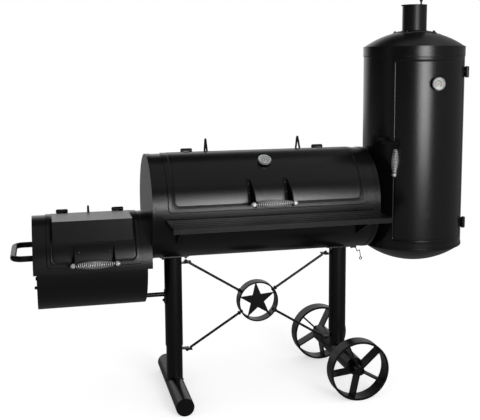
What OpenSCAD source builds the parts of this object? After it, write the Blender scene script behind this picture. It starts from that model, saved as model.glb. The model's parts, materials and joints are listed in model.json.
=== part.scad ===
// Offset smoker: fire box on the left, cooking chamber in the middle, smoking tower on the right.
// The frame's origin lies on the floor under the middle of the whole footprint.
// +X points to the tower, +Y to the back, +Z up. All sizes are in millimetres.

/* [Drums] */
// Outside diameter of the cooking chamber and the tower
drum_d = 406; // [396:1:416]
// Thickness of the rolled steel shells
sheet_t = 2.5; // [2:0.1:3]
// Length of the cooking chamber
chamber_len = 891; // [860:1:920]
// Height of the chamber's axis above the floor
chamber_z = 763; // [740:1:790]

/* [Main lid] */
// Length of the main lid along the chamber
lid_len = 776; // [740:1:790]
// Height of the main lid's lower edge, as an angle above the front horizontal
lid_low_angle = 1; // [0:0.5:4]
// Angle of the main lid's upper edge above the front horizontal
lid_top_angle = 95.5; // [94:0.5:97]
// Thickness of the lids and of the tower door
lid_t = 2.5; // [2:0.1:3]
// Clear gap between a shell and its lid
lid_gap = 0.8; // [0.5:0.1:1.5]

/* [Fire box] */
// Outside diameter of the fire box
firebox_d = 352; // [340:1:360]
// Length of the fire box body
firebox_len = 404; // [395:1:415]
// Height of the fire box's axis above the floor
firebox_z = 564; // [556:1:572]
// Length of the fire box lid
firebox_lid_len = 343; // [330:1:350]
// Length of the raised box on the fire box lid
lid_box_len = 291; // [270:1:300]
// Depth of the raised box in front of the crest
lid_box_depth = 152; // [140:1:158]
// How far the pull handle stands out from the fire box
pull_reach = 82; // [70:1:100]

/* [Tower] */
// Height of the tower's straight shell
tower_len = 808; // [780:1:830]
// Height of the shell's lower edge above the floor
tower_z = 563; // [550:1:575]
// Clear gap between the chamber's end and the tower
tower_gap = 19; // [12:1:40]
// Rise of the domed top
dome_rise = 66; // [50:1:80]
// Depth of the dished bottom
dish_depth = 72; // [55:1:80]
// Outside diameter of the chimney
chimney_d = 98; // [80:1:110]
// Length of the chimney above the dome
chimney_len = 100; // [80:1:130]

/* [Frame] */
// Distance of each leg's axis from the chamber's end
leg_inset = 101.5; // [90:0.5:115]
// Outside diameter of a leg
leg_d = 70; // [66:1:74]
// Outside diameter of the wheels
wheel_d = 237; // [220:1:250]
// Width of a wheel's rim
wheel_w = 40; // [34:1:44]
// Distance between the middle planes of the wheels
track = 466; // [450:1:500]
// Length of the foot tube
foot_len = 496; // [460:1:520]
// Outside diameter of the star's ring
star_d = 172; // [150:1:180]
// Tilt of the star in its ring
star_tilt = 4.5; // [-10:0.5:10]

/* [Shelf] */
// Height of the shelf's top
shelf_z = 742; // [730:1:748]
// How far the shelf's front lies from the chamber's axis
shelf_reach = 376; // [350:1:385]
// Distance of the shelf's left end from the chamber's end
shelf_inset_left = 49.5; // [40:0.5:60]
// Distance of the shelf's right end from the chamber's end
shelf_inset_right = 23.5; // [16:0.5:40]

/* [Handles] */
// Distance between the two ears of a lid handle
ear_gap = 144; // [130:1:150]
// Number of turns in a handle's spring
spring_turns = 20; // [14:1:22]
// Diameter of the spring wire
wire_d = 3.6; // [3:0.1:4]
// Largest outside diameter of the barrel-shaped spring
spring_d = 31; // [26:1:32]

/* [Thermometers] */
// Outside diameter of a thermometer
dial_d = 50; // [44:1:56]

/* [Hidden] */
$fn = 96;
slack = 0.01;

// Colours
paint = [0.12, 0.12, 0.12];
steel = [0.75, 0.76, 0.78];

// Drums and their lids
drum_r = drum_d / 2;
inner_r = drum_r - sheet_t;
lid_in_r = drum_r + lid_gap;
lid_out_r = lid_in_r + lid_t;
half_len = chamber_len / 2;
rim_t = 1.5;
rim_w = 17;
groove_w = 5;
groove_deep = 1.1;
opening_lap = 14;
frame_inset = 27;

// Fire box: the hood is the larger half sleeve on top of the body
fire_r = firebox_d / 2;
fire_inner_r = fire_r - sheet_t;
hood_gap = 1.3;
hood_in_r = fire_r + hood_gap;
hood_out_r = hood_in_r + sheet_t + 0.5;
fire_right_x = -half_len - 18;
fire_left_x = fire_right_x - firebox_len;
hood_left_x = fire_left_x - 12;
fire_lid_in_r = hood_out_r + 0.6;
fire_lid_out_r = fire_lid_in_r + lid_t;
fire_lid_x = (hood_left_x - half_len) / 2 + 4;
fire_lid_low = 5;
fire_lid_top = 102.5;
box_top_z = firebox_z + fire_lid_out_r;

// Tower
tower_x = half_len + tower_gap + drum_r;
tower_top_z = tower_z + tower_len;
tower_rim_r = drum_r + 2;
dome_r = (drum_r * drum_r + dome_rise * dome_rise) / (2 * dome_rise);
dome_centre_z = tower_top_z + dome_rise - dome_r;
dish_r = (drum_r * drum_r + dish_depth * dish_depth) / (2 * dish_depth);
dish_centre_z = tower_z - dish_depth + dish_r;
dome_top_z = tower_top_z + dome_rise;
door_a0 = -134;
door_a1 = -42;
door_z0 = tower_z + 48;
door_z1 = tower_top_z - 53;
duct_r = 78;

// Hinges: a knuckle on the lid, one on the frame, and a headed pin through both
knuckle_r = 8.5;
knuckle_len = 20.3;
pin_r = 4;
pin_fit = 0.05;
strap_t = 2.4;
hinge_angle = 107;
hinge_r = lid_out_r + knuckle_r + 0.4;
main_hinge_inset = 115;
main_hinge_xs = [-lid_len / 2 + main_hinge_inset, lid_len / 2 - main_hinge_inset];
fire_hinge_r = fire_lid_out_r + knuckle_r + 0.4;
fire_hinge_half = firebox_lid_len / 2 - 64.5;
fire_hinge_xs = [fire_lid_x - fire_hinge_half, fire_lid_x + fire_hinge_half];
door_hinge_a = -38.6;
door_hinge_zs = [door_z0 + 48, door_z1 - 48];

// Handles
rod_r = 4;
spring_end_r = 8;
ear_t = 3;
main_rod_y = -267;
main_rod_z = chamber_z + 33;
fire_rod_y = -222;
fire_rod_z = firebox_z + 32;
nut_len = 9;
nut_r = 9;

// Latch of the tower door: its hub turns on a stud, its spring grip stands farther out
latch_a = -131;
latch_z = tower_z + 432;
latch_tilt = 3;
latch_plane = lid_out_r + 8;
latch_end_r = 8;
latch_mid_r = 14;
grip_out = latch_mid_r - 6;
tongue_len = 62;
tongue_half = 5.5;
keeper_a = -158;
keeper_x0 = -80;
keeper_x1 = -46;
keeper_low = 7;
keeper_high = 19;

// Thermometers
dial_r = dial_d / 2;
main_dial_angle = 56;
tower_dial_z = tower_top_z - 144;
main_neck = 3;
tower_neck = 13;
case_h = 13;

// Frame
leg_x = half_len - leg_inset;
leg_r = leg_d / 2;
leg_in_r = leg_r - 2.5;
stub_r = leg_in_r - 0.1;
joint_z = 196;
saddle_t = 3;
wheel_r = wheel_d / 2;
rim_band = 4.5;
axle_r = 8;
housing_half = track / 2 - wheel_w / 2 - 5;
axle_half = track / 2 + wheel_w / 2 + 4;
brace_angle = 32;
star_z = 353;
star_r = star_d / 2;
band_t = 4;
band_w = 25;
lug_reach = 60;
lug_x = leg_x - lug_reach;
lug_dz = lug_x * tan(brace_angle);
brace_r = 5;
strut_z = firebox_z - 158;

// Shelf
shelf_x0 = -half_len + shelf_inset_left;
shelf_x1 = half_len - shelf_inset_right;
shelf_len = shelf_x1 - shelf_x0;
strip_h = 19;
strip_t = 3;
slat_t = 2.5;
slat_count = 5;
bracket_x = leg_x + 13;
gusset_back = drum_r - 43;
gusset_front = shelf_reach - 24;
gusset_low = chamber_z - 123;

// Pull handle and air vent
pull_y = 121;
pull_z = firebox_z + 46;
pull_r = 11;
vent_z = firebox_z - 62;
vent_ring = 30;
vent_hole_r = 14;

// Chimney
chimney_r = chimney_d / 2;
chimney_top_z = dome_top_z + chimney_len;
cap_r = chimney_r + 3;
cap_pivot = chimney_r + 8;

// Drain hook
hook_x = half_len - 28;
hook_z = chamber_z - drum_r - 6;
hook_wire = 1.7;

// Footprint of the whole smoker, which places the origin
far_left = fire_left_x - pull_reach - pull_r;
far_right = tower_x + tower_rim_r;
far_front = -shelf_reach;
far_back = axle_half + 6;
mid_x = (far_left + far_right) / 2;
mid_y = (far_front + far_back) / 2;

// ---- placing helpers ----

module smoker() {
    translate([-mid_x, -mid_y, 0]) children();
}

// A drum that lies down: its own axis Z is turned to +X. Angle a above the front becomes -90 - a.
module lying(z) {
    translate([0, 0, z]) rotate([0, 90, 0]) children();
}

// A place on a lying drum: local x runs along the drum, y up along the surface, z outward
module on_drum(x, z, a, r) {
    translate([x, 0, z]) rotate([90 - a, 0, 0]) translate([0, 0, r]) children();
}

// A place on the tower: local x runs around it, y up and z outward
module on_tower(z, a, r) {
    translate([tower_x, 0, z]) rotate([90, 0, 90 + a]) translate([0, 0, r]) children();
}

module at_tower() {
    translate([tower_x, 0, 0]) children();
}

// ---- shape helpers ----

module tube(r_out, r_in, h) {
    difference() {
        cylinder(r = r_out, h = h);
        translate([0, 0, -1]) cylinder(r = r_in, h = h + 2);
    }
}

// Part of a ring about Z, from angle a0 to a1 and height z0 to z1
module sector(r_in, r_out, z0, z1, a0, a1) {
    rotate([0, 0, a0])
        rotate_extrude(angle = a1 - a0)
            translate([r_in, z0]) square([r_out - r_in, z1 - z0]);
}

// What lies outside a rounded corner of a sector: side_a and side_z tell which corner it is
module corner_waste(r_in, r_out, z, a, c, side_a, side_z) {
    delta = asin(c / r_out);
    far = c + 3;
    rotate([90, 0, 90 + a - side_a * delta]) translate([0, z - side_z * c, r_in - 4])
        difference() {
            translate([side_a > 0 ? 0 : -far, side_z > 0 ? 0 : -far, 0])
                cube([far, far, r_out - r_in + 8]);
            translate([0, 0, -1]) cylinder(r = c * 1.01, h = r_out - r_in + 10);
        }
}

// A curved panel with rounded corners
module panel(r_in, r_out, z0, z1, a0, a1, c) {
    difference() {
        sector(r_in, r_out, z0, z1, a0, a1);
        corner_waste(r_in, r_out, z0, a0, c, -1, -1);
        corner_waste(r_in, r_out, z1, a0, c, -1, 1);
        corner_waste(r_in, r_out, z0, a1, c, 1, -1);
        corner_waste(r_in, r_out, z1, a1, c, 1, 1);
    }
}

// A shallow groove that runs around a panel, inset from its edges
module panel_groove(r_out, z0, z1, a0, a1, c) {
    da = groove_w / r_out * 180 / PI;
    difference() {
        panel(r_out - groove_deep, r_out + 2, z0, z1, a0, a1, c);
        panel(r_out - groove_deep - 2, r_out + 4, z0 + groove_w, z1 - groove_w, a0 + da, a1 - da,
              c - groove_w);
    }
}

// A domed nut that stands on z = 0
module domed_nut(r = nut_r) {
    cylinder(r = r, h = nut_len, $fn = 6);
    translate([0, 0, nut_len]) sphere(r = r * 0.84);
}

// A bolt head with a washer that stands on z = 0
module bolt_head(r = 6.5) {
    cylinder(r = r * 1.3, h = 1.2);
    translate([0, 0, 1.2]) cylinder(r = r, h = 4.5, $fn = 6);
}

module rivet_head(r = 4) {
    intersection() {
        translate([0, 0, -r * 0.35]) sphere(r = r * 1.1);
        cylinder(r = r * 2, h = r * 2);
    }
}

// Radius of the barrel-shaped spring at t from 0 to 1 along it
function barrel(t, r_end, r_mid) = r_end + (r_mid - r_end) * (1 - pow(2 * t - 1, 2));

// A coil spring along +Z: one ring of points at each step along the wire
module coil(len, turns, r_end, r_mid) {
    steps = 12;
    sides = 6;
    count = turns * steps;
    w = wire_d / 2;
    points = [for (i = [0:count]) let (t = i / count, a = 360 * i / steps, r = barrel(t, r_end, r_mid))
        for (j = [0:sides - 1]) let (b = 360 * j / sides, q = r + w * cos(b))
            [q * cos(a), q * sin(a), t * (len - wire_d) + w + w * sin(b)]];
    sides_of = [for (i = [0:count - 1]) for (j = [0:sides - 1]) let (k = (j + 1) % sides)
        [i * sides + j, (i + 1) * sides + j, (i + 1) * sides + k, i * sides + k]];
    first = [for (j = [0:sides - 1]) j];
    last = [for (j = [0:sides - 1]) count * sides + sides - 1 - j];
    polyhedron(points, concat([first], sides_of, [last]), convexity = 10);
}

// ---- cooking chamber ----

// The opening under the main lid, as a block that reaches through the shell
module main_opening() {
    lap = opening_lap / drum_r * 180 / PI;
    lying(chamber_z)
        panel(inner_r - 6, drum_r + 6, -lid_len / 2 + opening_lap, lid_len / 2 - opening_lap,
              -90 - lid_top_angle + lap, -90 - lid_low_angle - lap, 16);
}

module drain_spout() {
    difference() {
        translate([hook_x, 0, hook_z - 6]) cylinder(r = 8, h = 16);
        lying(chamber_z) cylinder(r = drum_r - slack, h = half_len);
        translate([hook_x, 0, hook_z - 7]) cylinder(r = 5, h = 30);
        translate([hook_x, 10, hook_z]) rotate([90, 0, 0]) cylinder(r = hook_wire + pin_fit, h = 20);
    }
}

module chamber_shell() {
    color(paint) smoker() {
        difference() {
            union() {
                translate([-half_len + sheet_t, 0, 0]) lying(chamber_z)
                    cylinder(r = drum_r, h = chamber_len - 2 * sheet_t);
                drain_spout();
            }
            translate([-half_len, 0, 0]) lying(chamber_z) cylinder(r = inner_r, h = chamber_len);
            main_opening();
            translate([hook_x, 0, hook_z - 7]) cylinder(r = 5, h = 30);
            translate([hook_x, 10, hook_z]) rotate([90, 0, 0]) cylinder(r = hook_wire + pin_fit, h = 20);
        }
    }
}

// An end cap: a disc with a rim that grips the shell, its outer face at x = 0, the drum on +X
module end_cap() {
    difference() {
        cylinder(r = drum_r + rim_t, h = rim_w);
        translate([0, 0, sheet_t]) cylinder(r = drum_r, h = rim_w);
        translate([0, 0, rim_w / 2]) tube(drum_r + rim_t + 1, drum_r + rim_t - 0.7, 1.5);
    }
}

// The flue between the fire box and the chamber, where the two drums overlap, as a block along X
module flue(wall, len) {
    low = chamber_z - 163;
    high = firebox_z + 126;
    translate([0, -110 - wall, low - wall]) cube([len, 220 + 2 * wall, high - low + 2 * wall]);
}

module chamber_end_left() {
    color(paint) smoker()
        difference() {
            translate([-half_len, 0, 0]) lying(chamber_z) end_cap();
            translate([-half_len - 5, 0, 0]) flue(0, 15);
        }
}

module chamber_end_right() {
    color(paint) smoker() {
        difference() {
            union() {
                translate([half_len, 0, 0]) mirror([1, 0, 0]) lying(chamber_z) end_cap();
                difference() {
                    translate([half_len - slack, 0, 0]) lying(chamber_z) cylinder(r = duct_r, h = 120);
                    at_tower() translate([0, 0, tower_z]) cylinder(r = drum_r, h = tower_len);
                }
            }
            translate([half_len - 10, 0, 0]) lying(chamber_z) cylinder(r = duct_r - 2.5, h = 150);
        }
    }
}

// Two ledges in the chamber and four tabs under each rack in the tower
ledge_w = 24;
ledge_z = chamber_z - 28;
ledge_y = sqrt(inner_r * inner_r - pow(ledge_z - chamber_z, 2));
rack_first = 190;
rack_pitch = 180;
rack_zs = [for (i = [0:2]) tower_z + rack_first + i * rack_pitch];
tab_angles = [-20, 60, 120, 205];

module grate_supports() {
    color(paint) smoker() {
        for (side = [-1, 1])
            intersection() {
                translate([-half_len + 30, side > 0 ? ledge_y - ledge_w : -ledge_y - 20, ledge_z - 3])
                    cube([chamber_len - 60, ledge_w + 20, 3]);
                translate([-half_len, 0, 0]) lying(chamber_z) cylinder(r = inner_r, h = chamber_len);
            }
        for (z = rack_zs)
            for (a = tab_angles)
                at_tower() sector(inner_r - 18, inner_r, z - 3, z, a - 4, a + 4);
    }
}

grate_len = 415;
grate_bar = 4;

// A flat grate: a frame with bars along Y and two cross bars, its lower face at z = 0
module bar_grate(len, width, pitch) {
    difference() {
        translate([-len / 2, -width / 2, 0]) cube([len, width, grate_bar]);
        translate([-len / 2 + grate_bar, -width / 2 + grate_bar, -1])
            cube([len - 2 * grate_bar, width - 2 * grate_bar, grate_bar + 2]);
    }
    count = floor((len - 2 * grate_bar) / pitch);
    for (i = [1:count - 1])
        translate([-len / 2 + i * len / count - grate_bar / 2, -width / 2 + 1, 0])
            cube([grate_bar, width - 2, grate_bar]);
    for (y = [-width / 5, width / 5])
        translate([-len / 2 + 1, y - grate_bar / 2, 0]) cube([len - 2, grate_bar, grate_bar]);
}

module cooking_grates() {
    color(steel) smoker()
        for (x = [-grate_len / 2 - 2, grate_len / 2 + 2])
            translate([x, 0, ledge_z]) bar_grate(grate_len, 2 * ledge_y - 12, 16);
}

// ---- hinges ----

// A frame leaf: a knuckle on a strap that follows the drum behind the hinge line
module frame_leaf(x, z, r_drum, r_hinge) {
    difference() {
        union() {
            on_drum(x, z, hinge_angle, r_hinge) rotate([0, 90, 0]) cylinder(r = knuckle_r, h = knuckle_len);
            difference() {
                on_drum(x, z, hinge_angle, 0)
                    translate([0, -1, r_drum - 5]) cube([knuckle_len, 7, r_hinge - r_drum + 5]);
                lying(z) translate([0, 0, x - 5]) cylinder(r = r_drum, h = 40);
            }
            lying(z)
                sector(r_drum, r_drum + 3, x, x + knuckle_len, -90 - hinge_angle - 9, -90 - hinge_angle);
        }
        on_drum(x - 1, z, hinge_angle, r_hinge) rotate([0, 90, 0]) cylinder(r = pin_r + pin_fit, h = 30);
    }
}

// A lid leaf: a knuckle on a strap that lies on the lid in front of the hinge line
module lid_leaf(x, z, r_lid, r_hinge, top_angle) {
    difference() {
        union() {
            on_drum(x, z, hinge_angle, r_hinge) rotate([0, 90, 0]) cylinder(r = knuckle_r, h = knuckle_len);
            lying(z)
                sector(r_lid, r_lid + strap_t, x, x + knuckle_len, -90 - hinge_angle, -90 - top_angle + 7);
        }
        on_drum(x - 1, z, hinge_angle, r_hinge) rotate([0, 90, 0]) cylinder(r = pin_r + pin_fit, h = 30);
    }
}

// A pin with a head at both ends, its middle at z = 0
module hinge_pin() {
    reach = knuckle_len + 0.25 + 0.3;
    translate([0, 0, -reach]) cylinder(r = pin_r, h = 2 * reach);
    translate([0, 0, -reach - 2]) cylinder(r = pin_r + 2, h = 2);
    translate([0, 0, reach]) cylinder(r = pin_r + 2, h = 2);
}

module door_frame_leaf(z) {
    difference() {
        union() {
            on_tower(z, door_hinge_a, hinge_r) rotate([90, 0, 0])
                translate([0, 0, 0.25]) cylinder(r = knuckle_r, h = knuckle_len);
            difference() {
                on_tower(z, door_hinge_a, 0)
                    translate([-1, -knuckle_len - 0.25, drum_r - 5])
                        cube([7, knuckle_len, hinge_r - drum_r + 5]);
                at_tower() translate([0, 0, tower_z]) cylinder(r = drum_r, h = tower_len);
            }
            at_tower() sector(drum_r, drum_r + 3, z - knuckle_len - 0.25, z - 0.25,
                              door_hinge_a, door_hinge_a + 9);
        }
        on_tower(z, door_hinge_a, hinge_r) rotate([90, 0, 0])
            translate([0, 0, -30]) cylinder(r = pin_r + pin_fit, h = 60);
    }
}

module hinge_frame_leaves() {
    color(paint) smoker() {
        for (x = main_hinge_xs)
            frame_leaf(x + 0.25, chamber_z, drum_r, hinge_r);
        for (x = fire_hinge_xs)
            frame_leaf(x + 0.25, firebox_z, hood_out_r, fire_hinge_r);
        for (z = door_hinge_zs)
            door_frame_leaf(z);
    }
}

module hinge_pins() {
    color(paint) smoker() {
        for (x = main_hinge_xs)
            on_drum(x, chamber_z, hinge_angle, hinge_r) rotate([0, 90, 0]) hinge_pin();
        for (x = fire_hinge_xs)
            on_drum(x, firebox_z, hinge_angle, fire_hinge_r) rotate([0, 90, 0]) hinge_pin();
        for (z = door_hinge_zs)
            on_tower(z, door_hinge_a, hinge_r) rotate([90, 0, 0]) hinge_pin();
    }
}

// An arched rod behind a lid's upper edge, which the open lid comes to rest on
module stop_arch(x, z, r_drum, y, half, top) {
    spring_z = top - half - 4;
    difference() {
        union() {
            translate([x, y, spring_z]) rotate([90, 0, 90])
                rotate_extrude(angle = 180) translate([half, 0]) circle(r = 4, $fn = 24);
            for (side = [-1, 1])
                translate([x, y + side * half, z]) cylinder(r = 4, h = spring_z - z, $fn = 24);
        }
        lying(z) translate([0, 0, x - 20]) cylinder(r = r_drum, h = 40);
    }
}

stop_y = 86;
stop_xs = [-190, 196];
stop_half = 34;
stop_rise = 47;
fire_stop_y = 66;
fire_stop_half = 20;
fire_stop_rise = 21.7;

module lid_stops() {
    color(paint) smoker() {
        for (x = stop_xs)
            stop_arch(x, chamber_z, drum_r, stop_y, stop_half, chamber_z + drum_r + stop_rise);
        stop_arch(fire_lid_x - 6, firebox_z, hood_out_r, fire_stop_y, fire_stop_half,
                  firebox_z + hood_out_r + fire_stop_rise);
    }
}

// ---- fire box ----

module vent_holes(r, h) {
    for (a = [90, 210, 330])
        rotate([0, 0, a]) translate([vent_ring, 0, 0]) cylinder(r = r, h = h);
}

// The lower trough with both end walls, and the flue that leads into the chamber
module firebox_body() {
    color(paint) smoker()
        difference() {
            union() {
                translate([fire_left_x, 0, 0]) lying(firebox_z) cylinder(r = fire_r, h = firebox_len);
                translate([fire_right_x - 1, 0, 0]) flue(3, -half_len - fire_right_x + 1);
            }
            translate([fire_left_x + sheet_t, 0, 0]) lying(firebox_z)
                cylinder(r = fire_inner_r, h = firebox_len - 2 * sheet_t);
            translate([fire_left_x + sheet_t, -fire_r - 5, firebox_z + 18])
                cube([firebox_len - 2 * sheet_t, 2 * fire_r + 10, fire_r]);
            translate([fire_right_x - 10, 0, 0]) flue(0, 40);
            translate([fire_left_x - 1, 0, vent_z]) rotate([0, 90, 0]) vent_holes(vent_hole_r, 5);
            translate([fire_left_x - 1, 0, vent_z]) rotate([0, 90, 0]) cylinder(r = 4, h = 5);
        }
}

// The half sleeve over the body, with the opening under the fire box lid
module firebox_hood() {
    lap = opening_lap / hood_out_r * 180 / PI;
    half = firebox_lid_len / 2 - opening_lap;
    color(paint) smoker()
        difference() {
            lying(firebox_z) sector(hood_in_r, hood_out_r, hood_left_x, -half_len, -272, -88);
            lying(firebox_z)
                panel(hood_in_r - 10, hood_out_r + 6, fire_lid_x - half, fire_lid_x + half,
                      -90 - fire_lid_top + lap, -90 - fire_lid_low - lap, 16);
        }
}

// Bars that lie across the trough, trimmed to its curve
module charcoal_grate() {
    grate_z = firebox_z - 92;
    half_w = sqrt(fire_inner_r * fire_inner_r - pow(grate_z - firebox_z, 2)) - 0.5;
    color(steel) smoker()
        translate([(fire_left_x + fire_right_x) / 2, 0, grate_z])
            bar_grate(firebox_len - 2 * sheet_t - 12, 2 * half_w, 20);
}

// A bent tube handle on two bolted flanges
module pull_path(r) {
    bend = 34;
    out = fire_left_x - 3 - pull_reach + 3;
    for (side = [-1, 1]) {
        translate([out + bend, side * pull_y, pull_z]) rotate([0, 90, 0])
            cylinder(r = r, h = fire_left_x - 3 - out - bend, $fn = 48);
        translate([out + bend, side * (pull_y - bend), pull_z]) rotate([0, 0, side > 0 ? 90 : 180])
            rotate_extrude(angle = 90) translate([bend, 0]) circle(r = r, $fn = 48);
    }
    translate([out, pull_y - bend, pull_z]) rotate([90, 0, 0])
        cylinder(r = r, h = 2 * (pull_y - bend), $fn = 48);
}

module pull_handle() {
    color(paint) smoker()
        difference() {
            union() {
                pull_path(pull_r);
                for (side = [-1, 1])
                    translate([fire_left_x - 3.01, side * pull_y - 17, pull_z - 38]) cube([3.01, 34, 76]);
            }
            pull_path(pull_r - 1.6);
            for (side = [-1, 1])
                for (dz = [-28, 28])
                    translate([fire_left_x - 5, side * pull_y, pull_z + dz]) rotate([0, 90, 0])
                        cylinder(r = 3.3, h = 8);
        }
}

// ---- tower ----

module tower_shell() {
    lap = opening_lap / drum_r * 180 / PI;
    color(paint) smoker()
        difference() {
            at_tower() translate([0, 0, tower_z]) tube(drum_r, inner_r, tower_len);
            at_tower() panel(inner_r - 6, drum_r + 6, door_z0 + opening_lap, door_z1 - opening_lap,
                             door_a0 + lap, door_a1 - lap, 16);
            translate([half_len - 10, 0, 0]) lying(chamber_z) cylinder(r = duct_r, h = 150);
        }
}

module tower_bottom() {
    color(paint) smoker() at_tower() {
        translate([0, 0, tower_z - 1]) tube(tower_rim_r, drum_r, 9);
        difference() {
            intersection() {
                translate([0, 0, dish_centre_z]) sphere(r = dish_r);
                translate([0, 0, tower_z - dish_depth - 1]) cylinder(r = tower_rim_r, h = dish_depth + 1);
            }
            translate([0, 0, dish_centre_z]) sphere(r = dish_r - sheet_t);
        }
    }
}

module tower_top() {
    skirt_h = 37;
    color(paint) smoker() at_tower() {
        difference() {
            translate([0, 0, tower_top_z - skirt_h]) tube(tower_rim_r, drum_r, skirt_h + 2);
            for (dz = [10, 20])
                translate([0, 0, tower_top_z - skirt_h + dz]) tube(tower_rim_r + 1, tower_rim_r - 0.9, 2.5);
        }
        translate([0, 0, tower_top_z]) tube(tower_rim_r, drum_r - 2, 2);
        difference() {
            intersection() {
                translate([0, 0, dome_centre_z]) sphere(r = dome_r);
                translate([0, 0, tower_top_z]) cylinder(r = tower_rim_r, h = dome_rise + 1);
            }
            translate([0, 0, dome_centre_z]) sphere(r = dome_r - sheet_t);
            translate([0, 0, tower_top_z]) cylinder(r = chimney_r - 2, h = 200);
        }
    }
}

module round_rack() {
    rack_r = inner_r - 4;
    tube(rack_r, rack_r - 5, grate_bar);
    for (i = [-11:11]) {
        y = i * 16;
        reach = sqrt(pow(rack_r - 2, 2) - y * y);
        translate([-reach, y - 2, 0]) cube([2 * reach, 4, grate_bar]);
    }
    for (x = [-70, 70])
        translate([x - 2, -sqrt(pow(rack_r - 2, 2) - x * x), 0])
            cube([4, 2 * sqrt(pow(rack_r - 2, 2) - x * x), grate_bar]);
}

module smoking_racks() {
    color(steel) smoker() at_tower()
        for (z = rack_zs)
            translate([0, 0, z]) round_rack();
}

// A bolted plate with a hook over it: the latch's tongue swings up behind the hook's lip
module door_keeper() {
    color(paint) smoker() {
        at_tower()
            sector(drum_r, drum_r + 3, latch_z - 19, latch_z + keeper_high + 3, keeper_a - 9, keeper_a + 9);
        difference() {
            on_tower(latch_z, latch_a, 0) {
                translate([keeper_x0, keeper_high, 150])
                    cube([keeper_x1 - keeper_x0, 3, latch_plane + 7 - 150]);
                translate([keeper_x0, keeper_low, latch_plane + 4])
                    cube([keeper_x1 - keeper_x0, keeper_high + 3 - keeper_low, 3]);
            }
            at_tower() translate([0, 0, latch_z - 60]) cylinder(r = drum_r + 1, h = 120);
        }
    }
}

// The chimney with its curved base flange and the lug that the cap swings on
module chimney_pipe() {
    color(paint) smoker() at_tower()
        difference() {
            union() {
                difference() {
                    translate([0, 0, dome_top_z - 12]) cylinder(r = chimney_r, h = chimney_len + 12);
                    translate([0, 0, dome_centre_z]) sphere(r = dome_r);
                }
                difference() {
                    intersection() {
                        translate([0, 0, dome_centre_z]) sphere(r = dome_r + 3);
                        translate([-68, -68, dome_top_z - 30]) cube([136, 136, 40]);
                    }
                    translate([0, 0, dome_centre_z]) sphere(r = dome_r);
                }
                translate([-7, chimney_r - 1.5, chimney_top_z - 14]) cube([14, 12, 14]);
                translate([0, cap_pivot, chimney_top_z - 14]) cylinder(r = 7, h = 14);
            }
            translate([0, 0, dome_top_z - 40]) cylinder(r = chimney_r - 2, h = chimney_len + 50);
            translate([0, cap_pivot, chimney_top_z - 15]) cylinder(r = 3, h = 20);
        }
}

// A flat disc that swings sideways over the chimney, with a ball knob
module chimney_cap() {
    base_z = chimney_top_z + 0.4;
    color(paint) smoker() at_tower()
        difference() {
            union() {
                translate([-3, 0, base_z]) cylinder(r = cap_r, h = 3);
                translate([-7, 0, base_z]) cube([14, cap_pivot, 3]);
                translate([0, cap_pivot, base_z]) cylinder(r = 7, h = 3);
                translate([28, 0, base_z]) cylinder(r = 3.5, h = 18);
                translate([28, 0, base_z + 21]) sphere(r = 6.5);
            }
            translate([0, cap_pivot, base_z - 1]) cylinder(r = 3 + pin_fit, h = 5);
        }
}

// ---- frame ----

// A leg under a curved saddle, with the upper lug of the brace
module leg(side) {
    lug_z = star_z + lug_dz;
    difference() {
        union() {
            difference() {
                union() {
                    translate([side * leg_x, 0, joint_z]) cylinder(r = leg_r, h = chamber_z - joint_z - 60);
                    translate([side > 0 ? lug_x : -leg_x, -12, lug_z - 4]) cube([leg_x - lug_x, 24, 4]);
                }
                translate([side * leg_x, 0, joint_z - 1]) cylinder(r = leg_in_r, h = 600);
                translate([-half_len, 0, 0]) lying(chamber_z)
                    cylinder(r = drum_r + saddle_t - slack, h = chamber_len);
            }
            lying(chamber_z)
                sector(drum_r, drum_r + saddle_t, side * leg_x - 55, side * leg_x + 55, -17, 17);
        }
        translate([side * leg_x, -60, joint_z + 30]) rotate([-90, 0, 0]) cylinder(r = 4, h = 60);
    }
}

module leg_left() {
    color(paint) smoker() leg(-1);
}

module leg_right() {
    color(paint) smoker() leg(1);
}

// The post that slides into a leg, with the lower lug of the brace
module stub(side, axis_z, r_cross) {
    lug_z = star_z - lug_dz;
    difference() {
        union() {
            translate([side * leg_x, 0, axis_z]) cylinder(r = stub_r, h = joint_z + 60 - axis_z);
            translate([side > 0 ? lug_x : -leg_x, -12, lug_z]) cube([leg_x - lug_x, 24, 4]);
        }
        translate([side * leg_x, 0, axis_z - 1]) cylinder(r = stub_r - 2.5, h = 400);
        translate([side * leg_x, -foot_len, axis_z]) rotate([-90, 0, 0])
            cylinder(r = r_cross, h = 2 * foot_len);
        translate([side * leg_x, -60, joint_z + 30]) rotate([-90, 0, 0]) cylinder(r = 4, h = 60);
    }
}

module foot_tube() {
    color(paint) smoker() {
        translate([-leg_x, foot_len / 2, leg_r]) rotate([90, 0, 0])
            difference() {
                cylinder(r = leg_r, h = foot_len);
                translate([0, 0, 2.5]) cylinder(r = leg_in_r, h = foot_len - 5);
            }
        stub(-1, leg_r, leg_r - slack);
    }
}

module axle_tube() {
    color(paint) smoker() {
        translate([leg_x, housing_half, wheel_r]) rotate([90, 0, 0])
            difference() {
                cylinder(r = leg_r, h = 2 * housing_half);
                translate([0, 0, 4]) cylinder(r = leg_in_r, h = 2 * housing_half - 8);
                translate([0, 0, -1]) cylinder(r = axle_r + pin_fit, h = 2 * housing_half + 2);
            }
        stub(1, wheel_r, leg_r - slack);
    }
}

module axle() {
    color(paint) smoker()
        translate([leg_x, 0, wheel_r]) rotate([90, 0, 0]) {
            translate([0, 0, -axle_half]) cylinder(r = axle_r, h = 2 * axle_half);
            for (side = [0, 1])
                mirror([0, 0, side]) translate([0, 0, axle_half]) cylinder(r = 13, h = 6);
        }
}

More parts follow.
